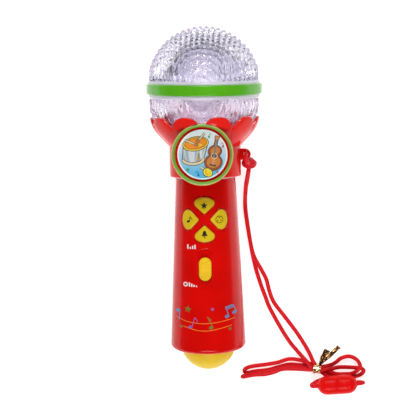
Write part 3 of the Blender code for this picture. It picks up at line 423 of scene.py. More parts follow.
HANDLE_RIM_R, HANDLE_TOP_R, HANDLE_TOP_Z, RIM_ROUND = 23.06, 18.2, 104.0, 3.0
NECK_R, NECK_TOP_Z = 16.9, 108.0
RIM_SAG, RIM_SAG_Z = 1.3, 24.0  # the rim hangs this much lower at the front, fading out by that height
BUTTONS_Z, BUTTON_PROUD, BUTTON_DOME, BUTTON_SEAT_Y = 80.2, 1.2, 0.12, -12.6
KNOB_Z, KNOB_WIDE, KNOB_TALL, KNOB_PROUD, KNOB_TRAVEL = 50.6, 7.5, 13.9, 1.7, 4.5
KNOB_LOW, KNOB_HIGH = KNOB_Z - KNOB_TALL / 2, KNOB_Z + KNOB_TALL / 2
DOOR_SIDE, DOOR_LOW_Z, DOOR_TOP_Z, DOOR_GAP = 12.5, -9, 70.0, 0.25
DOOR_SCREW_Z = 64.0
CASE_SCREWS = ((10.6, 98.0), (-10.6, 98.0), (16.8, 7.4), (-16.8, 7.4))
BADGE_Z, BADGE_FRONT_Y, DRUM_R, BEZEL_R = 119.7, -31.5, 17.6, 18.3
CORD_D = 2.6
FAR, AHEAD = 60, 40  # beyond every piece, and in front of the handle, for the cutters
HALF_LOW_Z, HALF_HIGH_Z = -20, 130  # beyond the handle's ends
PARTING = 0.07  # how far each half of the handle stays from the plane that parts them


def handle_r(z):
    share = (z - RIM_ROUND) / (HANDLE_TOP_Z - RIM_ROUND)
    return HANDLE_RIM_R + (HANDLE_TOP_R - HANDLE_RIM_R) * share


def on_handle(x, z, lift=0.0):
    """The point of the handle's front at x, z, standing off its surface by lift."""
    radius = handle_r(z) + lift
    return Vector((x, -sqrt(max(radius * radius - x * x, 0.01)), z))


def grown_outline(outline, grow):
    """The outline moved outward by grow along its corners' normals."""
    moved = []
    count = len(outline)
    for i in range(count):
        before, here, after = (Vector(outline[(i + k) % count]) for k in (-1, 0, 1))
        along = (after - before).normalized()
        moved.append(here + grow * Vector((along.y, -along.x)))
    return moved


def prism(name, outline, front_y, back_y):
    """A straight prism along Y with the outline in X and Z, as a cutter or a blank."""
    bm = bmesh.new()
    front, back = ([bm.verts.new((x, y, z)) for x, z in outline] for y in (front_y, back_y))
    bridge(bm, front, back)
    bm.faces.new(front)
    bm.faces.new(back[::-1])
    return from_bmesh(name, bm, red, sharp=0)


def block(name, half_wide, low_z, high_z, front_y, back_y):
    """A rectangular cutter or blank, even about the microphone's middle."""
    corners = [(-half_wide, low_z), (half_wide, low_z), (half_wide, high_z), (-half_wide, high_z)]
    return prism(name, corners, front_y, back_y)


def rod(name, x, z, radius, front_y, back_y, corners=36):
    """A round cutter along Y."""
    return prism(name, arc((x, z), radius, 0, 360 - 360 / corners, corners - 1), front_y, back_y)


def stadium(width, low_z, high_z):
    radius = width / 2
    return arc((0, high_z - radius), radius, 0, 180, 14) + arc((0, low_z + radius), radius, 180, 360, 14)


def button_outline(angle, grow=0.0):
    """A quarter-fan with round corners, grown all round, that points at the middle of the cluster."""
    corner, side, tip = 2.65 + grow, 3.3, 1.1 + grow
    points = arc((0, 4.7), tip, 222, 318, 12)
    points += arc((side, 9.9), corner, -42, 60, 12)
    points += arc((0, 4.36), 9.1 + grow, 66, 114, 9)
    points += arc((-side, 9.9), corner, 120, 222, 12)
    return [(x * cos(angle) - z * sin(angle), x * sin(angle) + z * cos(angle) + BUTTONS_Z) for x, z in points]


# ---- neck cord

LYING_Z = 1.35  # the height of a cord that lies on the surface, left out of the points below
KNOT = Vector((26.6, 21.6, 26.8))
START_A = [
    (26.3, 18.6, 28.0), (26.2, 16.6, 28.0), (25.8, 14.4, 24.8), (25.2, 11.6, 20.9), (24.2, 7.3, 16.1),
    (23.6, 2.7, 11.5), (23.2, -1.9, 7.4), (23.2, -6.5, 5.0), (23.7, -11.6, 4.2), (25.5, -24.0, 4.1),
    (27.2, -33.0, 4.1), (28.9, -38.0, 4.0), (31.4, -42.5, 3.1), (33.8, -47.0, 1.7), (35.9, -51.5),
    (37.7, -58.8), (40.6, -66.0), (47.8, -75.7), (54.9, -85.4), (60.4, -94.3, 1.8),
    (62.7, -98.6, 2.6),
]
# Through the tie, round the tall loop on its right, back through it, round the upper loop on its left,
# and under the clasp to its left end.
FOLDED_A = [
    (64.6, -102.8, 4.8), (66.9, -105.8, 6.1), (70.3, -106.0, 5.2), (75.6, -105.2, 1.9), (79.0, -103.5, 1.4),
    (81.9, -101.2), (86.6, -100.0), (90.6, -101.2, 1.5), (93.1, -103.6, 2.8), (93.7, -106.1, 3.9),
    (91.6, -109.0, 3.8), (88.2, -110.8, 1.8), (84.1, -111.1), (78.9, -110.9, 1.6), (73.2, -108.4, 3.7),
    (69.7, -106.6, 4.0), (66.7, -105.8, 3.8), (63.2, -104.5, 3.1), (56.3, -102.2, 1.6), (49.4, -101.5),
    (42.5, -103.5), (35.6, -104.7), (27.0, -105.8), (22.9, -106.9), (21.1, -108.5, 1.6),
    (22.9, -109.9, 1.8), (28.6, -109.0, 1.6), (36.1, -108.2, 1.6), (42.4, -106.5, 1.4), (49.4, -104.9),
    (56.3, -105.3), (63.0, -105.9, 1.4), (66.7, -105.8, 1.5), (70.0, -107.3, 2.4), (72.2, -109.9, 3.4),
    (73.3, -112.4, 1.8),
]
TAIL_A = [
    (71.0, -114.0), (67.8, -115.3, 1.5), (65.1, -116.5, 2.4), (63.4, -117.4, 4.6), (63.7, -117.8, 7.2),
    (65.4, -117.7, 8.5), (68.5, -117.5, 8.6), (69.4, -117.45, 8.6),
]
START_B = [
    (26.2, 19.4, 24.8), (26.1, 17.8, 23.4), (25.2, 13.9, 18.9), (24.2, 9.4, 14.0), (23.6, 4.8, 9.4),
    (23.2, -0.2, 5.0), (23.2, -5.5, 2.3), (23.7, -11.0), (25.5, -24.0), (26.9, -33.0),
    (28.4, -40.6), (29.9, -46.7), (32.5, -55.1), (35.1, -62.3), (37.9, -69.6),
    (45.1, -82.9), (50.6, -91.5), (54.0, -95.6, 1.6),
]
# Through the tie, round the flat loop on its right, back through it, round the lower loop on its left,
# and under the clasp.
FOLDED_B = [
    (57.2, -99.2, 2.8), (60.4, -102.6, 5.0), (63.6, -106.6, 6.0), (66.7, -108.3, 6.1), (70.3, -108.0, 6.0),
    (73.0, -107.6, 5.0), (76.3, -107.5, 2.8), (80.7, -106.8, 1.5), (86.5, -106.8), (91.6, -107.2),
    (94.6, -107.6), (96.2, -109.0), (95.0, -110.8), (92.3, -112.2), (87.5, -113.2),
    (81.3, -113.5), (75.4, -112.3, 1.4), (70.3, -109.6, 1.6), (66.7, -108.3, 1.45), (62.6, -108.3, 1.4),
    (56.3, -107.9), (49.4, -107.6), (44.3, -108.0), (39.9, -109.7), (34.2, -111.0),
    (27.9, -111.3), (22.9, -112.1), (20.6, -112.5, 1.7), (20.0, -112.2, 2.9), (21.2, -111.6, 4.1),
    (24.0, -111.0, 4.2), (29.5, -110.0, 4.0), (35.5, -109.4, 4.0), (41.6, -107.9, 3.9), (49.4, -106.3, 3.8),
    (56.3, -106.6, 3.9), (62.6, -107.6, 4.0), (66.7, -108.35, 3.8), (70.0, -109.7, 4.3), (72.8, -111.9, 3.9),
    (75.6, -114.0, 2.6),
]
TAIL_B = [(78.6, -115.2, 1.6), (82.0, -116.3), (84.9, -116.5)]
END_B = [
    (84.6, -116.5), (88.0, -116.4), (91.6, -116.3, 1.5), (94.4, -116.1, 2.9), (95.5, -116.0, 5.2),
    (94.6, -116.0, 7.5), (92.8, -116.1, 8.5), (90.2, -116.2, 8.6), (89.3, -116.25, 8.6),
]
LUG_LOOP = [
    (26.3, 21.6, 29.6), (26.1, 21.6, 32.4), (25.7, 21.9, 34.4), (25.2, 23.2, 36.0), (24.8, 25.4, 36.3),
    (24.7, 26.8, 34.4), (24.7, 26.9, 32.1), (24.75, 26.9, 29.6), (25.2, 26.4, 27.6), (25.9, 24.2, 26.9),
]
CLASP_LEFT, CLASP_RIGHT, CLASP_R = Vector((67.0, -117.6, 8.6)), Vector((91.7, -116.1, 8.6)), 5.9
CLASP_SEAM = 0.03  # how far each half stops from the seam
TIE_AT, TIE_WIDE = Vector((66.7, -107.1, 4.05)), 4.6
CLASP_BODY = "clasp_release_end"
CORD_STEP, END_STEP = 0.9, 0.9 * 0.6


def cord_tube(name, path, material):
    return tube(name, path, CORD_D / 2, material, TABLE)


def laid(route, spacing):
    """The smooth path of a route, at LYING_Z where a point has no height of its own."""
    return smooth_route([(*point, LYING_Z)[:3] for point in route], spacing)


def knot_piece():
    """A round stopper knot: the cord wound over itself in three tilted turns about a full heart."""
    steps, turns, wind_r, heart_r = 120, 3, 3.3, 3.8
    points = []
    for i in range(steps + 1):
        t = i / steps
        angle = 2 * pi * turns * t
        tilt = radians(-50 + 100 * t)
        around = Vector((cos(angle), sin(angle) * sin(tilt), sin(angle) * cos(tilt)))
        points.append(KNOT + wind_r * around.normalized())
    winding = tube("cord_knot_turns", points, CORD_D / 2 + 0.15, painted_lit_cord_red, TABLE)
    heart = turned("cord_knot_heart", arc((0, 0), heart_r, 90, -90, 16), painted_lit_cord_red, 32, closed=False,
                   matrix=TABLE @ Matrix.Translation(KNOT))
    return settle(joined("cord_knot_turns", [winding, heart]), "red_cord", "cord_knot")


def half_clasp(name, direction, body, node):
    """One half of the breakaway clasp: half a capsule with a bore for the cord and a rounded seam edge."""
    axis = CLASP_RIGHT - CLASP_LEFT
    half, middle = axis.length / 2, (CLASP_LEFT + CLASP_RIGHT) / 2
    end_r = CLASP_R - 0.1
    profile = [(0, half - 3.0), (1.55, half - 3.0), (1.55, half - 0.3), (1.8, half - 0.05)]
    profile += arc((0, half - end_r), end_r, 71, 0, 16)
    profile += [(CLASP_R, half - end_r - 0.3), (CLASP_R, CLASP_SEAM + 0.09),
                (CLASP_R - 0.03, CLASP_SEAM + 0.04), (CLASP_R - 0.12, CLASP_SEAM), (0, CLASP_SEAM)]
    turn = (axis * direction).to_track_quat("Z", "Y").to_matrix().to_4x4()
    piece = turned(name, profile, clasp_red, 64, closed=False, matrix=TABLE @ Matrix.Translation(middle) @ turn)
    return settle(piece, "red_plastic", node, body=body)


def foil_strip(name, start, end, start_wide, end_wide, material):
    """A crinkled foil strip with a wire ridge down its middle, thick enough to be a solid."""
    start, end = Vector(start), Vector(end)
    along = (end - start).normalized()
    across = along.cross(Vector((0.25, -0.2, 1))).normalized()
    up = across.cross(along).normalized()
    rows, columns, half_thick = 14, 6, 0.14
    bm = bmesh.new()
    layers = []
    for side in (half_thick, -half_thick):
        grid = []
        for r in range(rows + 1):
            t = r / rows
            width = start_wide + (end_wide - start_wide) * min(1, t * 2.2)
            crinkle = 0.28 * sin(r * 2.4) * t
            row = []
            for c in range(columns + 1):
                s = c / columns - 0.5
                ridge = 0.45 * max(0.0, 1 - abs(s) * 7) + 0.22 * sin(s * 14 + r * 0.9)
                point = start.lerp(end, t) + across * width * s + up * (ridge + crinkle * (0.5 + s) + side)
                row.append(bm.verts.new(point))
            grid.append(row)
        layers.append(grid)
    for layer in layers:
        skin(bm, layer, closed=False)
    top, bottom = layers
    for r in range(rows):
        for c in (0, columns):
            bm.faces.new((top[r][c], top[r + 1][c], bottom[r + 1][c], bottom[r][c]))
    for c in range(columns):
        for r in (0, rows):
            bm.faces.new((top[r][c], bottom[r][c], bottom[r][c + 1], top[r][c + 1]))
    return from_bmesh(name, bm, material, TABLE, 25)


def twist_tie():
    """The foil tie: a pinched band round the cords and two ends twisted together."""
    twisted = foil("twisted_foil", (0.62, 0.34, 0.14))
    half_y, half_z, thick, corner = 3.2, 4.0, 0.35, 3.2
    columns, around = 6, 40
    bm = bmesh.new()
    skins = []
    for inset in (0.0, thick):
        rings = []
        for c in range(columns + 1):
            s = c / columns - 0.5
            pinch = 1 - 0.05 * cos(s * pi) + 0.02 * sin(c * 2.1)
            ring = []
            for k in range(around):
                a = 2 * pi * k / around
                squareness = (abs(cos(a)) ** corner + abs(sin(a)) ** corner) ** (-1 / corner)
                wrinkle = 0.12 * sin(5 * a + c * 1.3)
                y = (half_y - inset + wrinkle) * pinch * squareness * cos(a)
                z = (half_z - inset + wrinkle * 0.5) * pinch * squareness * sin(a)
                ring.append(bm.verts.new(TIE_AT + Vector((s * TIE_WIDE + 0.25 * sin(2 * a), y, z))))
            rings.append(ring)
        skins.append(rings)
    for rings in skins:
        skin(bm, rings)
    for end in (0, -1):
        bridge(bm, skins[0][end], skins[1][end])
    pieces = [
        from_bmesh("tie_band", bm, foil("gold_foil", (1.0, 0.74, 0.36)), TABLE, 25),
        foil_strip("tie_end_short", (68.3, -104.6, 7.2), (73.4, -95.0, 9.0), 1.0, 3.9, twisted),
        foil_strip("tie_end_long", (68.6, -104.4, 7.8), (80.7, -92.9, 10.0), 1.0, 2.9, twisted),
    ]
    for piece in pieces:
        settle(piece, "gold_foil")
    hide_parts("twist_tie")
    return pieces


def neck_cord():
    clasp_a = half_clasp("clasp_left_half", -1, ROOT, "clasp_half_a")
    clasp_b = half_clasp("clasp_right_half", 1, CLASP_BODY, "clasp_half_b")
    knot = knot_piece()
    loop = settle(cord_tube("cord_lug_bight", laid(LUG_LOOP, END_STEP), painted_lit_cord_red), "red_cord", "cord_lug_loop")
    tie = twist_tie()
    end_b = cord_tube("cord_b_end", laid(END_B, END_STEP), cord_red)
    settle(end_b, "red_cord", "cord_end_b", body=CLASP_BODY)
    for name, route, nodes, extra in (
        ("cord_a", START_A + FOLDED_A + TAIL_A, ["cord_strand_a", "cord_tail_a", "cord_hank"],
         [clasp_a, knot, loop, *tie]),
        ("cord_b", START_B + FOLDED_B + TAIL_B, ["cord_strand_b", "cord_tail_b"], [clasp_b, end_b]),
    ):
        path = laid(route, CORD_STEP)
        cord = settle(cord_tube(name, path, cord_red), "red_cord", *nodes)


neck_cord()


# ---- floor and light

FLOOR_Z, FLOOR_HALF = -0.0004, 3.0
GLOW, GLOW_FAR, GLOW_FADE = 0.75, 0.15, (0.28, 0.70)  # the paper's glow near and far, and where it fades
SKY_PLACES = (0.0, 0.25, 0.62)  # from the horizon up
SKY_COLOURS = ((0.30, 0.30, 0.31, 1), (0.09, 0.09, 0.10, 1), (0.035, 0.035, 0.04, 1))
LAMPS = (  # name, place, size, energy
    ("softbox_top", (0.0, 0.95, 0.90), (0.9, 0.35), 10.5),
    ("softbox_bottom", (0.05, -0.95, 0.90), (0.9, 0.35), 10.5),
    ("lamp_front", (0.16, 0.30, 1.30), (0.05, 0.05), 1.2),
)


def add_floor():
    bm = bmesh.new()
    bmesh.ops.create_grid(bm, x_segments=1, y_segments=1, size=FLOOR_HALF)
    nodes = Nodes("floor_paper")
    tone = nodes.mix(nodes.noise(900, 3), (0.66, 0.66, 0.66, 1), (0.70, 0.70, 0.70, 1))
    reach = nodes.add("ShaderNodeVectorMath", {0: nodes.place()}, operation="LENGTH").outputs["Value"]
    paper = nodes.principled(Base_Color=tone, Roughness=0.9, Emission_Color=(1, 1, 1, 1),
                             Emission_Strength=nodes.span(reach, GLOW, GLOW_FAR, *GLOW_FADE))
    from_bmesh("floor", bm, paper, Matrix.Translation((0, 0, FLOOR_Z)))


def add_sky():
    world = bpy.context.scene.world or bpy.data.worlds.new("studio")
    bpy.context.scene.world = world
    world.use_nodes = True
    tree = world.node_tree
    place, split, ramp = (tree.nodes.new(kind) for kind in (
        "ShaderNodeTexCoord", "ShaderNodeSeparateXYZ", "ShaderNodeValToRGB"))
    tree.links.new(place.outputs["Generated"], split.inputs[0])
    tree.links.new(split.outputs["Z"], ramp.inputs[0])
    tree.links.new(ramp.outputs[0], tree.nodes["Background"].inputs[0])
    steps = ramp.color_ramp.elements
    steps[0].position, steps[1].position = SKY_PLACES[0], SKY_PLACES[-1]
    steps.new(SKY_PLACES[1])
    for step, colour in zip(steps, SKY_COLOURS):
        step.color = colour
    tree.nodes["Background"].inputs[1].default_value = 1.0


def add_lamps():
    for name, place, size, energy in LAMPS:
        light = bpy.data.lights.new(name, "AREA")
        light.shape = "RECTANGLE"
        light.size, light.size_y = size
        light.energy = energy
        lamp = bpy.data.objects.new(name, light)
        lamp.location = place
        lamp.rotation_euler = (-Vector(place)).to_track_quat("-Z", "Y").to_euler()
        lamp.visible_transmission = False  # keeps hard white spots out of the clear studs
        bpy.context.scene.collection.objects.link(lamp)


add_floor()
add_sky()
add_lamps()
bpy.context.scene.view_settings.view_transform = "Standard"


# ---- handle


def handle_profile():
    """Closed section of the handle's wall, finer than the CAD's."""
    profile = [(NECK_R, NECK_TOP_Z), (NECK_R, HANDLE_TOP_Z + 0.1), (HANDLE_TOP_R - 0.6, HANDLE_TOP_Z + 0.1)]
    profile += arc((HANDLE_TOP_R - 0.5, HANDLE_TOP_Z - 0.4), 0.5, 90, 8, 4)
    rows = 12
    heights = [HANDLE_TOP_Z - (HANDLE_TOP_Z - RIM_ROUND) * i / rows for i in range(rows)]
    profile += [(handle_r(z), z) for z in heights]
    profile += arc((HANDLE_RIM_R - RIM_ROUND, RIM_ROUND), RIM_ROUND, 0, -90, 10)
    profile += [(17.4, 0.0), (17.1, 0.15), (17.0, 0.4), (17.0, 2.0), (21.0, 2.2), (16.3, 101.0), (14.9, 103.5),
                (14.9, NECK_TOP_Z)]
    return profile


def surface_line(name, outline, lift, radius, material=red):
    """A fine rounded line on the handle's surface along an outline."""
    points = [on_handle(x, z, lift) for x, z in outline]
    return tube(name, [*points, points[0]], radius, material, sides=8)


def tapered_core(name, material, low_z, high_z, depth, segments):
    """A solid that follows the handle's taper at a depth below its surface."""
    profile = [(0, high_z), (handle_r(high_z) - depth, high_z), (handle_r(low_z) - depth, low_z), (0, low_z)]
    return turned(name, profile, material, segments)


def front_shell():
    front = turned("handle_front", handle_profile(), red, 160)
    for vertex in front.data.vertices:
        if vertex.co.y < 0 and vertex.co.z < RIM_SAG_Z:
            vertex.co.z += RIM_SAG * vertex.co.y / HANDLE_RIM_R * (1 - max(0.0, vertex.co.z) / RIM_SAG_Z)
    cutters = [block("half", FAR, HALF_LOW_Z, HALF_HIGH_Z, -PARTING, FAR)]
    cutters += [prism("socket", button_outline(pi / 2 * turn, 0.35), -AHEAD, -8) for turn in range(4)]
    cutters.append(block("stem_slot", 1.9, KNOB_Z - 3.4, KNOB_Z + 6.6, -AHEAD, -12))
    recess = stadium(KNOB_WIDE + 0.9, KNOB_LOW - 0.4, KNOB_HIGH + KNOB_TRAVEL + 0.6)
    recess = prism("recess", recess, -AHEAD, -5)
    cutters.append(boolean(recess, [tapered_core("recess_floor", red, 25, 80, 1.0, 160)]))
    dish, dish_r = bmesh.new(), 7.2  # the finger's dish above the recess
    bmesh.ops.create_uvsphere(dish, u_segments=48, v_segments=32, radius=dish_r)
    dish_at = Matrix.Translation((0, -handle_r(KNOB_HIGH + 3) - 6.3, KNOB_HIGH + 2.3))
    cutters.append(from_bmesh("dish", dish, red, MIC @ dish_at))
    cutters.append(rod("drum_space", 0, BADGE_Z, DRUM_R + 0.15, -FAR, -9, 72))
    settle(smoothed(boolean(front, cutters)), "red_plastic", "front_shell")
    # a dark core behind the switch's slot, as painted shade
    well = tapered_core("switch_well", dark_painted_shade, 38, 62, 3.2, 96)
    settle(boolean(well, [block("well", 30, 0, 120, -14.6, FAR)]))


def rear_shell():
    cutters = [block("half", FAR, HALF_LOW_Z, HALF_HIGH_Z, -FAR, PARTING),
               block("door_gap", DOOR_SIDE + DOOR_GAP, DOOR_LOW_Z, DOOR_TOP_Z + DOOR_GAP, 13.0, FAR)]
    cutters += [rod("screw_hole", x, z, 2.4, 8.0, FAR) for x, z in CASE_SCREWS]
    rear = boolean(turned("handle_rear", handle_profile(), red, 160), cutters)
    settle(smoothed(rear), "red_plastic", "rear_shell")


def battery_cover():
    door = turned("battery_cover", handle_profile(), red, 160)
    boolean(door, [block("door_blank", DOOR_SIDE, DOOR_LOW_Z, DOOR_TOP_Z, 13.3, FAR)], "INTERSECT")
    ribs = []
    rib_count, lowest_rib_z, rib_step, rib_r = 7, 8.0, 2.2, 0.45
    for row in range(rib_count):
        z = lowest_rib_z + row * rib_step
        points = [Vector((x, sqrt(handle_r(z) ** 2 - x * x) + 0.05, z)) for x in range(-7, 8)]
        ribs.append(tube(f"door_rib_{row}", points, rib_r, red, sides=8))
    boolean(door, [rod("door_screw_space", 0, DOOR_SCREW_Z, 2.6, 16.2, FAR)])
    joined("battery_cover", [door, *ribs])
    settle(smoothed(door), "red_plastic", "battery_door", body="battery_cover")


def end_dome():
    """The yellow dome: a shell with a flange inside the handle's rim."""
    wall, radius, centre = 1.6, 17.0, 3.2
    profile = [(0, centre - radius + wall), *arc((0, centre), radius - wall, -90, -6, 20)[1:]]
    profile += [(radius - wall, 3.9), (20.3, 3.9), (20.3, 2.3), (16.8, 2.3), (16.7, 0.0)]
    profile += [*arc((0, centre), radius, -11, -90, 32)[:-1], (0, centre - radius)]
    settle(turned("end_dome_cap", profile, dome_yellow, closed=False), "dome_yellow", "end_dome")


front_shell()
rear_shell()
battery_cover()
end_dome()


# ---- buttons and switch


def ink(name, outline, surface, material, lift=0.05, step=0.6, matrix=MIC):
    """A flat printed shape laid on a surface(x, z, lift), split finely enough to follow it."""
    bm = bmesh.new()
    flat = [Vector((x, z, 0)) for x, z in outline]
    verts = [bm.verts.new(p) for p in flat]
    for a, b, c in tessellate_polygon([flat]):
        if len({a, b, c}) == 3:
            bm.faces.new((verts[a], verts[b], verts[c]))
    for _ in range(4):
        long_edges = [edge for edge in bm.edges if edge.calc_length() > step]
        if not long_edges:
            break
        bmesh.ops.subdivide_edges(bm, edges=long_edges, cuts=1)
        bmesh.ops.triangulate(bm, faces=[face for face in bm.faces if len(face.verts) > 3])
    for vertex in bm.verts:
        vertex.co = surface(vertex.co.x, vertex.co.y, lift)
    bm.normal_update()
    return from_bmesh(name, bm, material, matrix, recalculate=False)


def ribbon(points, width, taper=0.0):
    """The outline of a stroke of that width along the points."""
    points = [Vector(p) for p in points]
    left, right = [], []
    for i, point in enumerate(points):
        along = (points[min(i + 1, len(points) - 1)] - points[max(i - 1, 0)]).normalized()
        across = Vector((-along.y, along.x)) * width / 2 * (1 - taper * i / (len(points) - 1))
        left.append(point + across)
        right.append(point - across)
    return [tuple(p) for p in left + right[::-1]]


def disc(x, z, radius_x, radius_z=None, tilt=0.0):
    """The outline of a round or oval dot, tilted by that many radians."""
    radius_z = radius_z or radius_x
    points, steps = [], 20
    for i in range(steps):
        a = 2 * pi * i / steps
        u, v = radius_x * cos(a), radius_z * sin(a)
        points.append((x + u * cos(tilt) - v * sin(tilt), z + u * sin(tilt) + v * cos(tilt)))
    return points


def star(x, z, outer, inner, turn=90.0):
    found, points = [], 5
    for i in range(2 * points):
        radius = outer if i % 2 == 0 else inner
        angle = radians(turn + 180 * i / points)
        found.append((x + radius * cos(angle), z + radius * sin(angle)))
    return found


def bell(x, z, size):
    side = [(0.0, 1.0), (0.35, 0.9), (0.5, 0.5), (0.58, 0.0), (0.95, -0.45), (0.95, -0.65)]
    outline = side + [(-u, v) for u, v in side[:0:-1]]
    return [(x + size * u, z + size * v) for u, v in outline]


def button_sign(x, z, kind):
    """Outlines of a small black sign: star, bell, note, or a ring with three dots."""
    if kind == "star":
        return [star(x, z - 0.1, 2.3, 0.95), disc(x, z - 2.0, 0.32)]
    if kind == "bell":
        return [bell(x, z + 0.2, 1.9), disc(x, z - 1.75, 0.5)]
    if kind == "note":
        return [disc(x - 0.9, z - 1.0, 0.95, 0.7, 0.4), ribbon([(x - 0.15, z - 0.9), (x + 0.1, z + 1.6)], 0.4),
                ribbon([(x + 0.05, z + 1.6), (x + 1.0, z + 0.9), (x + 1.4, z - 0.1)], 0.6, 0.7)]
    ring = [ribbon(arc((x, z), 2.05, start, start + 176, 20), 0.32) for start in (0, 180)]
    return ring + [disc(dot_x, dot_z, 0.34) for dot_x, dot_z in arc((x, z), 1.05, 90, 330, 2)]


def button_cap(name, outline):
    """A cap with the outline's sides, a rounded edge and a slightly domed top that follows the handle."""
    edge, edge_steps, rings = 0.75, 3, 5
    bm = bmesh.new()
    centre = sum((Vector(p) for p in outline), Vector((0, 0))) / len(outline)
    loops = [[bm.verts.new((x, BUTTON_SEAT_Y, z)) for x, z in outline]]
    for step in range(edge_steps + 1):
        angle = radians(90 * step / edge_steps)
        inset = grown_outline(outline, -edge * (1 - cos(angle)))
        loops.append([bm.verts.new(on_handle(x, z, BUTTON_PROUD - edge * (1 - sin(angle)))) for x, z in inset])
    border = grown_outline(outline, -edge)
    for ring in range(1, rings):
        share = ring / rings
        lift = BUTTON_PROUD + BUTTON_DOME * (1 - (1 - share) ** 2)
        loops.append([bm.verts.new(on_handle(*point.lerp(centre, share), lift)) for point in border])
    top = bm.verts.new(on_handle(*centre, BUTTON_PROUD + BUTTON_DOME))
    skin(bm, loops)
    last = loops[-1]
    for i in range(len(last)):
        bm.faces.new((last[i], last[(i + 1) % len(last)], top))
    bm.faces.new(loops[0][::-1])
    return from_bmesh(name, bm, yellow, sharp=40)


def buttons():
    """Four caps with their signs, each in a socket with a raised lip and a dark tube in the gap, as painted shade.
    """
    sign_x, ink_lift = 8.9, 0.06
    for name, turn, kind, sign_reach in (("top", 0, "star", 8.6), ("left", 90, "note", 8.9),
                                         ("bottom", 180, "bell", 8.6), ("right", 270, "ring", 8.9)):
        angle = radians(turn)
        cap = button_cap(f"button_cap_{name}", button_outline(angle))
        # an orange tube round the cap's edge: painted shade
        rim = surface_line(f"button_rim_{name}", button_outline(angle, -0.12), 0.62, 0.32, button_edge_painted_shade)
        sign = button_sign(-sign_x * sin(angle), BUTTONS_Z + sign_reach * cos(angle), kind)
        signs = [ink(f"sign_{name}_{i}", shape, on_handle, ink_black, BUTTON_PROUD + BUTTON_DOME + ink_lift)
                 for i, shape in enumerate(sign)]
        cap = joined(f"button_cap_{name}", [cap, rim, *signs])
        settle(cap, "yellow_plastic", f"button_{name}", body=f"button_{name}_key")
        lip = surface_line(f"button_lip_{name}", button_outline(angle, 0.75), -0.1, 0.36)
        gap = surface_line(f"button_gap_{name}", button_outline(angle, 0.24), -0.5, 0.26, dark_painted_shade)
        settle(joined(f"button_lip_{name}", [lip, gap]), "red_plastic")


def slide_switch():
    """Ribbed yellow knob, with rounded shoulders, over its recess."""
    ribs, rib_high, flat_ends, edge = 11, 0.22, 1.6, 0.7
    rows, columns, width = 132, 14, KNOB_WIDE / 2

    def knob_top(x, z, drop):
        end = min(z - KNOB_LOW, KNOB_HIGH - z)
        ribbed = end > flat_ends and abs(x) < 3.0 and drop < 0.05
        wave = rib_high * cos(2 * pi * ribs * (z - KNOB_LOW) / KNOB_TALL) if ribbed else 0.0
        return on_handle(x, z, KNOB_PROUD - drop + wave)

    bm = bmesh.new()
    grid = []
    for r in range(rows + 1):
        z = KNOB_LOW + KNOB_TALL * r / rows
        end = min(z - KNOB_LOW, KNOB_HIGH - z)
        half = width if end >= width else sqrt(max(width ** 2 - (width - end) ** 2, 0.0001))
        row = []
        for c in range(columns + 1):
            x = half * (2 * c / columns - 1)
            border = min(half - abs(x), end)
            drop = 0.0 if border > edge else edge - sqrt(max(edge ** 2 - (edge - border) ** 2, 0.0))
            row.append(bm.verts.new(knob_top(x, z, drop)))
        grid.append(row)
    skin(bm, grid, closed=False)
    loop = grid[0] + [row[-1] for row in grid[1:]] + grid[-1][-2::-1] + [row[0] for row in grid[-2:0:-1]]
    base = [bm.verts.new(on_handle(v.co.x, v.co.z, -0.65)) for v in loop]
    bridge(bm, loop, base)
    bm.faces.new(base[::-1])
    bmesh.ops.remove_doubles(bm, verts=bm.verts, dist=0.01)
    knob = from_bmesh("switch_knob", bm, knob_yellow, sharp=60)
    settle(knob, "yellow_plastic", "slide_knob", body="power_switch")
    lip = stadium(KNOB_WIDE + 1.5, KNOB_LOW - 0.7, KNOB_HIGH + KNOB_TRAVEL + 0.9)
    settle(surface_line("switch_lip", lip, -0.12, 0.3), "red_plastic")


def switch_marks():
    """White marks beside the switch, a stroke or a ring before a row of bars, and faint raised rings."""
    upright, bar, bar_step, half_tall = 0.85, 0.78, 1.45, 1.35
    for name, x, z, bars_x, heights in (("on", -10.4, 63.95, 1.5, (1.2, 1.9, 2.6)),
                                        ("off", -12.2, 41.2, 2.4, (2.6, 1.9, 1.2, 0.8))):
        if name == "on":
            shapes = [ribbon([(x, z - half_tall), (x, z + half_tall)], upright)]
        else:
            shapes = [ribbon(arc((x, z), 1.1, a, a + 178, 16), 0.62) for a in (0, 180)]
        for k, height in enumerate(heights):
            at = x + bars_x + bar_step * k
            shapes.append(ribbon([(at, z - half_tall), (at, z - half_tall + height)], bar))
        marks = [ink(f"mark_{name}_{i}", shape, on_handle, ink_white) for i, shape in enumerate(shapes)]
        settle(joined(f"mark_{name}", marks))
        rings = [surface_line(f"twin_{name}_{k}", disc(0.2 + 3.2 * k, z + 0.4 - 0.4 * k, 1.2, 1.5), -0.02, 0.13)
                 for k in range(2)]
        settle(joined(f"mark_raised_{name}", rings), "red_plastic")


buttons()
slide_switch()
switch_marks()


# ---- printed tune on the handle


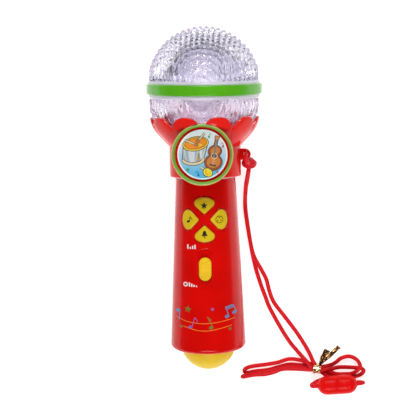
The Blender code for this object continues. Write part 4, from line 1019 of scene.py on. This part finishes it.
def printed_tune():
    colours = {"orange": (0.90, 0.20, 0.01), "blue": (0.10, 0.28, 0.52), "green": (0.13, 0.42, 0.02),
               "olive": (0.16, 0.20, 0.03), "violet": (0.30, 0.13, 0.42)}
    inks = {name: plastic(f"ink_{name}", colour, 0.4) for name, colour in colours.items()}
    shapes = []
    for route in ([(-18.6, 21.2), (-17.0, 20.5), (-11.4, 18.8), (-1.8, 17.8), (7.6, 18.5), (16.9, 20.2)],
                  [(-14.2, 15.9), (-6.4, 13.9), (0.2, 13.4), (7.6, 14.4), (15.2, 16.1)]):
        stroke = [(p.x, p.y) for p in smooth_route([(x, z, 0) for x, z in route], 0.6)]
        shapes.append(("orange", ribbon(stroke, 0.46)))
    for colour, x, z, top_x, top_z, flag in (
        ("blue", -17.2, 25.0, -16.4, 19.6, 0), ("violet", -9.6, 15.5, -6.8, 21.4, 1.5),
        ("olive", 3.1, 15.4, 0.9, 21.6, 2.2), ("blue", 12.6, 21.6, 11.8, 27.0, 0),
        ("blue", 16.9, 23.6, 16.2, 28.2, 0),
    ):
        shapes.append((colour, disc(x, z, 1.35, 1.0, 0.35)))
        shapes.append((colour, ribbon([(x + 1.1, z + 0.2), (top_x, top_z)], 0.42)))
        if flag:
            curl = [(top_x, top_z), (top_x + flag, top_z - 1.6), (top_x + flag * 0.8, top_z - 3.2)]
            shapes.append((colour, ribbon(curl, 0.6, 0.6)))
    shapes += [
        ("blue", ribbon([(11.6, 26.8), (16.3, 28.1)], 1.0)),
        ("blue", ribbon([(11.9, 25.6), (16.4, 26.9)], 0.5)),
        ("olive", star(-11.0, 26.2, 2.3, 0.95, turn=80)), ("olive", star(-15.4, 15.4, 1.3, 0.5)),
        ("olive", star(14.2, 14.0, 1.3, 0.5)), ("violet", star(4.1, 26.4, 1.25, 0.6, turn=100)),
    ]
    pieces = [ink(f"tune_{i}", shape, on_handle, inks[colour]) for i, (colour, shape) in enumerate(shapes)]
    settle(joined("printed_tune", pieces))


printed_tune()


# ---- crown

COLLAR_R, COLLAR_LOW_Z, COLLAR_HIGH_Z = 21.7, 105.0, 123.6
SPEAKER_Z = 116.0
PETALS, PETAL_TIP_Z, PETAL_NOTCH_Z, PETAL_THICK = 10, 141.4, 133.5, 1.9
FLARE = [(21.7, 123.6), (22.7, 124.6), (26.6, 128.7), (30.2, 132.7), (32.0, 136.0), (33.0, 139.0),
         (33.3, 141.4)]


def flare_r(z):
    for (r0, z0), (r1, z1) in zip(FLARE, FLARE[1:]):
        if z <= z1:
            break
    return r0 + (r1 - r0) * (z - z0) / (z1 - z0)


def smooth_flare_r(z):
    reach = (-1.2, -0.6, 0.0, 0.6, 1.2) if z > COLLAR_HIGH_Z + 0.6 else (0.0,)
    return sum(flare_r(z + d) for d in reach) / len(reach)


def crown_section(share, edge_z):
    """Section at one angle, and where its rim starts and how long it is. share is -1 to 1 across a petal."""
    bulge = 0.4 * (1 - abs(share) ** 2.2)
    half = PETAL_THICK / 2
    outer = [(NECK_R + 0.3, COLLAR_LOW_Z), (COLLAR_R - 1.7, COLLAR_LOW_Z)]
    outer += arc((COLLAR_R - 1.2, COLLAR_LOW_Z + 1.2), 1.2, -70, 0, 4)
    outer += [(COLLAR_R, COLLAR_LOW_Z + up) for up in (4, 10, 16)] + [(COLLAR_R, COLLAR_HIGH_Z - 0.8)]
    rows, rim_steps, rim_squash = 20, 8, 0.62
    centre_line = []
    for row in range(rows + 1):
        z = COLLAR_HIGH_Z + (edge_z - 0.5 - COLLAR_HIGH_Z) * row / rows
        grow = min(1.0, max(0.0, (z - COLLAR_HIGH_Z) / 6.0))
        slope = (smooth_flare_r(z + 0.2) - smooth_flare_r(z - 0.2)) / 0.4
        stretch = hypot(1, slope)
        normal = (1 / stretch, -slope / stretch)
        push = (bulge - 0.3) * grow
        middle = (smooth_flare_r(z) - normal[0] * half + normal[0] * push,
                  z - normal[1] * half + normal[1] * push)
        centre_line.append((middle, normal))
    outer += [(m[0] + n[0] * half, m[1] + n[1] * half) for m, n in centre_line]
    (tip_r, tip_z), normal = centre_line[-1]
    along = (-normal[1], normal[0])
    rim = []
    for step in range(1, rim_steps):
        a = radians(180 * step / rim_steps)
        rim.append((tip_r + half * (normal[0] * cos(a) + along[0] * rim_squash * sin(a)),
                    tip_z + half * (normal[1] * cos(a) + along[1] * rim_squash * sin(a))))
    inner = [(m[0] - n[0] * half, m[1] - n[1] * half) for m, n in centre_line[::-1]]
    inner += [(COLLAR_R - 2, COLLAR_HIGH_Z - 1), (COLLAR_R - 2, COLLAR_LOW_Z + 2),
              (NECK_R + 0.3, COLLAR_LOW_Z + 2)]
    return outer + rim + inner, len(outer), len(rim)


def crown():
    """Collar, petals and cord lug. The petals' rims get a glossier red."""
    per_petal = 26
    columns = PETALS * per_petal
    bm = bmesh.new()
    rings = []
    for column in range(columns):
        share = 2 * ((column % per_petal) / per_petal) - 1
        edge_z = PETAL_TIP_Z - (PETAL_TIP_Z - PETAL_NOTCH_Z + 0.4) * abs(share) ** 3.0
        angle = 2 * pi * column / columns - pi / 2
        section, rim_start, rim_count = crown_section(share, edge_z)
        rings.append([bm.verts.new((r * cos(angle), r * sin(angle), z)) for r, z in section])
    for ring, following in zip(rings, rings[1:] + rings[:1]):
        for i in range(len(ring)):
            j = (i + 1) % len(ring)
            face = bm.faces.new((ring[i], following[i], following[j], ring[j]))
            face.material_index = 1 if rim_start <= i < rim_start + rim_count - 1 else 0
    # the crown's skin gets the lighter red of painted light, its rims a glossier red
    piece = from_bmesh("petal_crown_skin", bm, [crown_painted_lit_red, rim_red], sharp=40)
    cutters = [rod("bezel_space", 0, BADGE_Z, BEZEL_R + 0.1, -FAR, -27.6, 90),
               rod("drum_space_inner", 0, BADGE_Z, DRUM_R + 0.1, -FAR, -8, 90)]
    sound_holes = [(0, 0), *arc((0, 0), 4.2, 0, 300, 5)]
    cutters += [prism("sound_hole", disc(x, SPEAKER_Z + z, 1.1), 16, 40) for x, z in sound_holes]
    smoothed(boolean(piece, cutters), 40)
    settle(joined("petal_crown_skin", [piece, lug_eye()]), "red_plastic", "petal_crown")


def lug_eye():
    """The rounded eye at the collar's right side that the cord is looped through."""
    x, z, outer_r, foot_x, half_thick = 24.3, 118.2, 3.5, 20.4, 2.4
    outline = arc((x, z), outer_r, -90, 90, 20) + [(foot_x, z + outer_r), (foot_x, z - outer_r)]
    hole = prism("lug_hole", disc(x + 0.4, z, 1.45), -10, 10)
    eye = boolean(prism("lug_eye", outline, -half_thick, half_thick), [hole])
    bevel = eye.modifiers.new("round", "BEVEL")
    bevel.width, bevel.segments, bevel.limit_method = 0.75, 4, "ANGLE"
    bevel.angle_limit = radians(50)
    applied(eye).data.shade_smooth()
    return eye


def collar_gasket():
    profile = [(16.95, 104.2), (17.95, 104.2), (18.1, 104.35), (18.1, 104.8), (17.95, 104.95), (16.95, 104.95)]
    settle(turned("collar_gasket", profile, gasket_white), "white_plastic")


crown()
collar_gasket()


# ---- badge

BADGE = MIC @ Matrix.Translation((0, BADGE_FRONT_Y, BADGE_Z)) @ Matrix.Rotation(pi / 2, 4, "X")

PICTURE_Z = -2.5  # the picture's face, from the bezel's front


def picture_material():
    """Sky that runs from pale at the top to clear blue at the bottom, with faint print grain."""
    nodes = Nodes("picture_sky")
    height = nodes.add("ShaderNodeSeparateXYZ", {0: nodes.place()}).outputs[1]
    clouds = nodes.noise(0.11, 4)
    blend = nodes.math("MULTIPLY_ADD", clouds, 0.25, nodes.span(height, 0.0, 1.0, -11.0, 12.0))
    sky = nodes.mix(nodes.span(blend, 0, 1, 0.1, 0.95), (0.10, 0.50, 0.80, 1), (0.70, 0.78, 0.80, 1))
    grain = nodes.noise(6.0, 2)
    return nodes.principled(Base_Color=sky, Roughness=nodes.span(grain, 0.28, 0.42), Coat_Weight=0.3,
                            Normal=nodes.bump(grain, 0.03, 0.05))


def badge():
    bezel = [(17.45, -0.35), (17.6, -0.08), (17.75, 0.0), (17.95, -0.08), (18.15, -0.3), (18.25, -0.6),
             (18.3, -1.1), (18.3, -3.6), (16.25, -3.6), (16.25, -2.4), (16.35, -2.1), (16.6, -1.5)]
    lip_r, lip_z = 17.62, -0.6
    bm = revolve(bezel, 160)
    # faces on the outer lip get the paler colour of the painted highlight
    for face in bm.faces:
        middle = face.calc_center_median()
        face.material_index = 1 if hypot(middle.x, middle.y) > lip_r and middle.z > lip_z else 0
    settle(from_bmesh("bezel_ring", bm, [bezel_green, bezel_lip_highlight], BADGE), "bezel_green", "badge_bezel")
    cup = [(0, -3.4), (15.1, -3.4), (15.2, -3.3), (15.2, -3.0), (15.3, -2.9), (16.1, -2.9), (16.2, -3.0),
           (16.2, -3.9), (DRUM_R, -3.9), (DRUM_R, -22.5), (16.0, -22.5), (16.0, -5.4), (0, -5.4)]
    settle(turned("badge_drum", cup, red, closed=False, matrix=BADGE), "red_plastic", "badge_cup")
    plate = [(0, PICTURE_Z), (14.0, PICTURE_Z), (14.6, -2.52), (14.85, -2.65), (14.9, -3.1), (0, -3.1)]
    plate = turned("badge_picture_disc", plate, picture_material(), closed=False, matrix=BADGE)
    settle(plate, "picture_print", "badge_picture")
    badge_scene()


def on_picture(x, z, lift):
    return Vector((x, z, PICTURE_Z + lift))


def drum_side(grow=0.0):
    """The printed drum's side: from the ends of its top down round the lower half of its foot."""
    angles = [radians(188 + 8 * i) for i in range(23)]
    foot = [(-5.6 + (6.3 + grow) * cos(a), -2.8 + (3.3 + grow) * sin(a)) for a in angles]
    return [(-11.1 - grow, 5.0), *foot, (3.3 + grow, 7.2)]


def outlined(tone, points, width):
    """A dark-edged stroke."""
    return [("line", ribbon(points, width + 0.6)), (tone, ribbon(points, width))]


def edged(tone, x, z, radius_x, radius_z, tilt=0.0, edge=0.4):
    """A dark-edged disc."""
    return [("line", disc(x, z, radius_x + edge, radius_z + edge, tilt)),
            (tone, disc(x, z, radius_x, radius_z, tilt))]


def badge_scene():
    """A generic scene: a toy drum with two sticks, a guitar and a maraca among small notes and stars."""
    tones = {
        "line": (0.055, 0.05, 0.06), "grey": (0.36, 0.46, 0.56), "pale": (0.62, 0.70, 0.76),
        "orange": (0.87, 0.27, 0.02), "gold": (0.90, 0.58, 0.03), "brown": (0.36, 0.09, 0.02),
        "tan": (0.62, 0.22, 0.05), "yellow": (0.80, 0.72, 0.04), "cream": (0.75, 0.62, 0.38),
        "blue": (0.03, 0.12, 0.50), "green": (0.03, 0.35, 0.10), "pink": (0.62, 0.08, 0.10),
        "white": (0.93, 0.93, 0.92),
    }
    inks = {name: plastic(f"print_{name}", tone, 0.35) for name, tone in tones.items()}
    foot_rim = [(-5.6 + 6.2 * cos(a), -2.4 + 3.1 * sin(a)) for a in (radians(192 + 12 * i) for i in range(15))]
    lacing = [(-10.9, 3.0), (-9.4, -4.4), (-7.0, 1.6), (-4.6, -5.9), (-2.4, 2.4), (-0.6, -4.0), (2.0, 4.6)]
    layers = [
        *(("white", ribbon(arc((0, 0), 14.35, start, start + 179, 60), 0.75)) for start in (0, 180)),
        # drum
        ("line", drum_side(0.4)), ("grey", drum_side()),
        ("pale", [(-8.4, 3.0), (-7.6, -4.6), (-4.8, -5.4), (-4.6, 2.6)]),
        ("pale", [(-1.6, 3.6), (-1.4, -4.2), (-0.6, -3.8), (0.4, 4.4)]), ("cream", ribbon(lacing, 0.7)),
        ("line", ribbon(foot_rim, 2.0)), ("cream", ribbon(foot_rim, 1.3)),
        *edged("gold", -3.9, 6.4, 7.5, 4.0, 0.16), *edged("orange", -3.9, 6.6, 6.5, 3.1, 0.16, 0.3),
        ("gold", disc(-6.6, 7.0, 1.5, 0.8, 0.3)), ("gold", disc(-1.6, 5.6, 1.7, 0.8, 0.1)),
        *outlined("cream", [(-10.2, 8.6), (-3.6, 5.8)], 0.8), *edged("tan", -3.4, 5.8, 0.9, 0.65, edge=0.3),
        *outlined("cream", [(1.6, 12.6), (-2.4, 8.2)], 0.8), *edged("tan", -2.6, 8.0, 0.9, 0.65, edge=0.3),
        # guitar
        *outlined("brown", [(7.4, 4.0), (8.8, 9.6)], 1.6), *outlined("tan", [(8.75, 9.2), (9.15, 11.0)], 2.3),
        ("line", disc(7.4, 1.8, 4.3, 3.7, 0.25)), ("line", disc(6.4, -4.6, 5.5, 5.0, 0.25)),
        ("brown", disc(7.4, 1.8, 3.9, 3.3, 0.25)), ("brown", disc(6.4, -4.6, 5.1, 4.6, 0.25)),
        ("tan", disc(7.6, 2.1, 2.9, 2.3, 0.25)), ("tan", disc(6.5, -4.4, 4.0, 3.5, 0.25)),
        ("cream", disc(7.0, -0.8, 1.9, 1.8)), ("line", disc(7.0, -0.8, 1.5, 1.4)),
        ("line", ribbon([(7.2, 0.6), (8.7, 8.4)], 1.1)), ("line", ribbon([(4.1, -5.9), (7.9, -6.8)], 1.0)),
        ("cream", ribbon([(5.7, -6.2), (8.5, 9.6)], 0.18)), ("cream", ribbon([(6.5, -6.4), (9.0, 9.6)], 0.18)),
        # maraca
        *outlined("cream", [(-1.0, -7.4), (1.6, -9.4)], 1.1), *edged("yellow", 3.0, -10.6, 2.8, 2.3, -0.6),
        ("orange", ribbon([(2.0, -8.8), (1.9, -10.8), (3.0, -12.4)], 0.6)),
        ("gold", disc(3.9, -11.1, 1.2, 0.9, -0.6)),
        # small notes and stars
        ("green", disc(4.0, 10.4, 0.6)), ("green", ribbon([(4.5, 10.4), (4.5, 12.4), (5.5, 11.9)], 0.32)),
        ("pink", disc(12.2, 4.6, 0.6)), ("pink", ribbon([(12.7, 4.7), (12.1, 6.8), (11.2, 6.6)], 0.32)),
        ("blue", disc(-2.6, -12.2, 0.6)), ("blue", ribbon([(-2.2, -12.0), (-3.2, -10.0), (-4.1, -10.6)], 0.32)),
        ("green", star(-8.9, -8.9, 1.3, 0.55)), ("pink", star(8.6, -10.4, 1.1, 0.45)),
    ]
    pieces = []
    for index, (tone, outline) in enumerate(layers):
        lift = 0.02 + 0.005 * index  # each layer just over the one before
        pieces.append(ink(f"print_{index}", outline, on_picture, inks[tone], lift, 5.0, BADGE))
    settle(joined("badge_print", pieces))


badge()


# ---- globe

UPPER_CENTRE, LOWER_CENTRE, STUD_BASE_R, STUD_HIGH, STUD_STEP = 162.0, 154.1, 33.0, 1.3, radians(6.3)
STUD_FLAT_UPPER, STUD_FLAT_LOWER = 0.26, 0.34  # width of a stud's flat top over its foot
BAND_LOW, BAND_HIGH, BAND_R = 155.4, 161.9, 35.2
GLOBE_NOD, GLOBE_LEAN = radians(2.6), radians(0.7)  # the globe sits slightly tipped towards its badge
GLOBE_PIVOT = Vector((0, 0, 158.0))
GLOBE = (MIC @ Matrix.Translation(GLOBE_PIVOT) @ Matrix.Rotation(GLOBE_NOD, 4, "X")
         @ Matrix.Rotation(GLOBE_LEAN, 4, "Y") @ Matrix.Translation(-GLOBE_PIVOT))


def studded_shell(name, centre, sign, start_reach, end_reach, flat, materials, skip=lambda x, y: False):
    """A clear shell whose outside is a square grid, seen down the axis, of small four-sided studs.

    sign is 1 for the upper half and -1 for the lower one. Studs fill the ring between two distances
    from the axis. The inside is a smooth sphere, and the edges are closed."""
    bm = bmesh.new()
    inner_r = STUD_BASE_R - 1.6
    lift_to = Vector((0, 0, centre))
    cells = int(pi / 2 / STUD_STEP) + 1
    lines = [STUD_BASE_R * sin(min(pi / 2, max(-pi / 2, k * STUD_STEP))) for k in range(-cells, cells + 1)]
    outer, inner = {}, {}

    def lifted(x, y, raise_by):
        reach = hypot(x, y)
        if reach > end_reach:
            x, y = x * end_reach / reach, y * end_reach / reach
            reach = end_reach
        base = Vector((x, y, sign * sqrt(max(STUD_BASE_R ** 2 - reach ** 2, 0.0))))
        return base * (STUD_BASE_R + raise_by) / STUD_BASE_R + lift_to, base

    def corner(i, j):
        if (i, j) not in outer:
            high, low = lifted(lines[i], lines[j], 0.0)
            outer[i, j] = bm.verts.new(high)
            inner[i, j] = bm.verts.new(low * inner_r / STUD_BASE_R + lift_to)
        return outer[i, j], inner[i, j]

    used_edges = {}
    for i in range(len(lines) - 1):
        for j in range(len(lines) - 1):
            corners = [(i, j), (i + 1, j), (i + 1, j + 1), (i, j + 1)]
            reaches = [hypot(lines[a], lines[b]) for a, b in corners]
            middle = (lines[i] + lines[i + 1]) / 2, (lines[j] + lines[j + 1]) / 2
            reach = hypot(*middle)
            if min(reaches) > end_reach - 0.05 or reach < start_reach or skip(*middle):
                continue
            low_ring = [corner(a, b) for a, b in corners]
            cover = min(1.0, max(0.12, (end_reach - min(reaches)) / 1.6))
            tops = []
            for a, b in corners:
                x, y = (m + (lines[k] - m) * flat for m, k in zip(middle, (a, b)))
                tops.append(bm.verts.new(lifted(x, y, STUD_HIGH * cover)[0]))
            bm.faces.new(tops)
            for k in range(4):
                m = (k + 1) % 4
                bm.faces.new((low_ring[k][0], low_ring[m][0], tops[m], tops[k]))
                edge = tuple(sorted((corners[k], corners[m])))
                used_edges[edge] = used_edges.get(edge, 0) + 1
            bm.faces.new([pair[1] for pair in low_ring[::-1]]).material_index = 1
    for (a, b), count in used_edges.items():
        if count == 1:
            bm.faces.new((outer[a], outer[b], inner[b], inner[a]))
    bmesh.ops.remove_doubles(bm, verts=bm.verts, dist=0.02)
    return from_bmesh(name, bm, materials, GLOBE, sharp=0)


def studded_halves():
    rim_reach = sqrt(STUD_BASE_R ** 2 - 1.2 ** 2)

    def near_badge(x, y):
        z = LOWER_CENTRE - sqrt(max(STUD_BASE_R ** 2 - x * x - y * y, 0.0))
        return y < 0 and hypot(x, z - BADGE_Z) < DRUM_R - 0.8

    upper = studded_shell("globe_upper_studs", UPPER_CENTRE, 1, 0.0, rim_reach, STUD_FLAT_UPPER,
                          [globe_clear, globe_inside])
    settle(upper, "clear_plastic", "globe_upper")
    lower = studded_shell("globe_lower_studs", LOWER_CENTRE, -1, 24.5, rim_reach, STUD_FLAT_LOWER,
                          [lower_clear, lower_inside], near_badge)
    settle(lower, "clear_plastic", "globe_lower")


def rims_and_band():
    """The clear rims, each with a lip that reaches in behind the band, and the green band."""
    outer, inner, lip, tall, corner = 34.15, 31.4, 32.4, 1.9, 0.9
    for name, flat_z, out, lip_z in (("globe_rim_upper", BAND_HIGH, 1, BAND_HIGH - 0.1),
                                     ("globe_rim_lower", BAND_LOW, -1, BAND_HIGH - 0.15)):
        round_z = flat_z + out * tall
        profile = [(inner, lip_z), (lip, lip_z), (lip, flat_z), (outer, flat_z), (outer, round_z - out * 0.5),
                   (outer - 0.15, round_z - out * 0.15), (outer - 0.5, round_z), (inner, round_z)]
        settle(turned(name, profile, rim_clear, 160, matrix=GLOBE), "clear_plastic")
    band = [(32.6, BAND_LOW), (34.0, BAND_LOW), *arc((BAND_R - corner, BAND_LOW + corner), corner, -80, 0, 5),
            (BAND_R + 0.05, (BAND_LOW + BAND_HIGH) / 2),
            *arc((BAND_R - corner, BAND_HIGH - corner), corner, 0, 80, 5), (34.0, BAND_HIGH), (32.6, BAND_HIGH)]
    settle(turned("band_ring", band, green, 192, matrix=GLOBE), "green_plastic", "equator_band")


def inside_the_globe():
    plate = [(0, 139.1), (25.4, 139.1), (25.8, 139.0), (26.0, 138.6), (26.0, 137.9), (0, 137.9)]
    # the disc's pink is painted red bounce light from the crown
    settle(turned("reflector_disc", plate, white, 96, closed=False), "white_plastic", "reflector_plate")
    skirt = [(26.0, 137.8), (25.2, 137.8), (22.6, 129.6), (23.6, 129.2), (26.4, 136.2)]
    # the skirt's deep pink is painted red bounce light from the crown
    settle(turned("reflector_skirt", skirt, skirt_painted_red_bounce, 96), "white_plastic")
    ball_z, ball_r, ball_inner_r = 153.0, 14.2, 13.0
    ball = [(0, ball_z + ball_r), *arc((0, ball_z), ball_r, 90, -39.8, 26)[1:], (10.9, 139.4), (9.7, 139.4)]
    ball += [*arc((0, ball_z), ball_inner_r, -41, 90, 22)[:-1], (0, ball_z + ball_inner_r)]
    settle(turned("diffuser_ball", ball, frosted, 96, closed=False), "frosted_plastic", "led_diffuser")


studded_halves()
rims_and_band()
inside_the_globe()


# ---- materials of the CAD pieces that stay


def repaint():
    """Every CAD node that still shows gets a full material in place of its flat one."""
    plastics = {  # slot: name, colour, roughness and coat
        "circuit_board": ("board_green", (0.02, 0.16, 0.05), 0.35, 0.0),
        "black_plastic": ("black_abs", (0.018, 0.018, 0.02), 0.35, 0.0),
        "grey_rubber": ("key_rubber", (0.30, 0.31, 0.33), 0.65, 0.0),
        "battery_wrap": ("cell_wrap", (0.04, 0.07, 0.24), 0.22, 0.4),
        "speaker_paper": ("cone_paper", (0.05, 0.045, 0.04), 0.85, 0.0),
        "wire_insulation": ("wire_pvc", (0.50, 0.04, 0.03), 0.4, 0.0),
        "led_red": ("lens_red", (0.85, 0.42, 0.42), 0.12, 0.5),
        "led_green": ("lens_green", (0.55, 0.82, 0.58), 0.12, 0.5),
        "led_blue": ("lens_blue", (0.52, 0.60, 0.86), 0.12, 0.5),
    }
    paints = {slot: plastic(name, colour, roughness, coat=coat, unit=1.0)
              for slot, (name, colour, roughness, coat) in plastics.items()}
    paints["steel"] = brushed_metal("bright_steel", (0.62, 0.62, 0.64), 0.28)
    slots = {part["node"]: part["material_slot"] for part in frame["record"]["subparts"]}
    for node, obj in frame["nodes"].items():
        paint = paints.get(slots.get(node))
        if paint is None:
            continue
        if not obj.material_slots:
            obj.data.materials.append(paint)
        for slot in obj.material_slots:
            slot.material = paint


repaint()
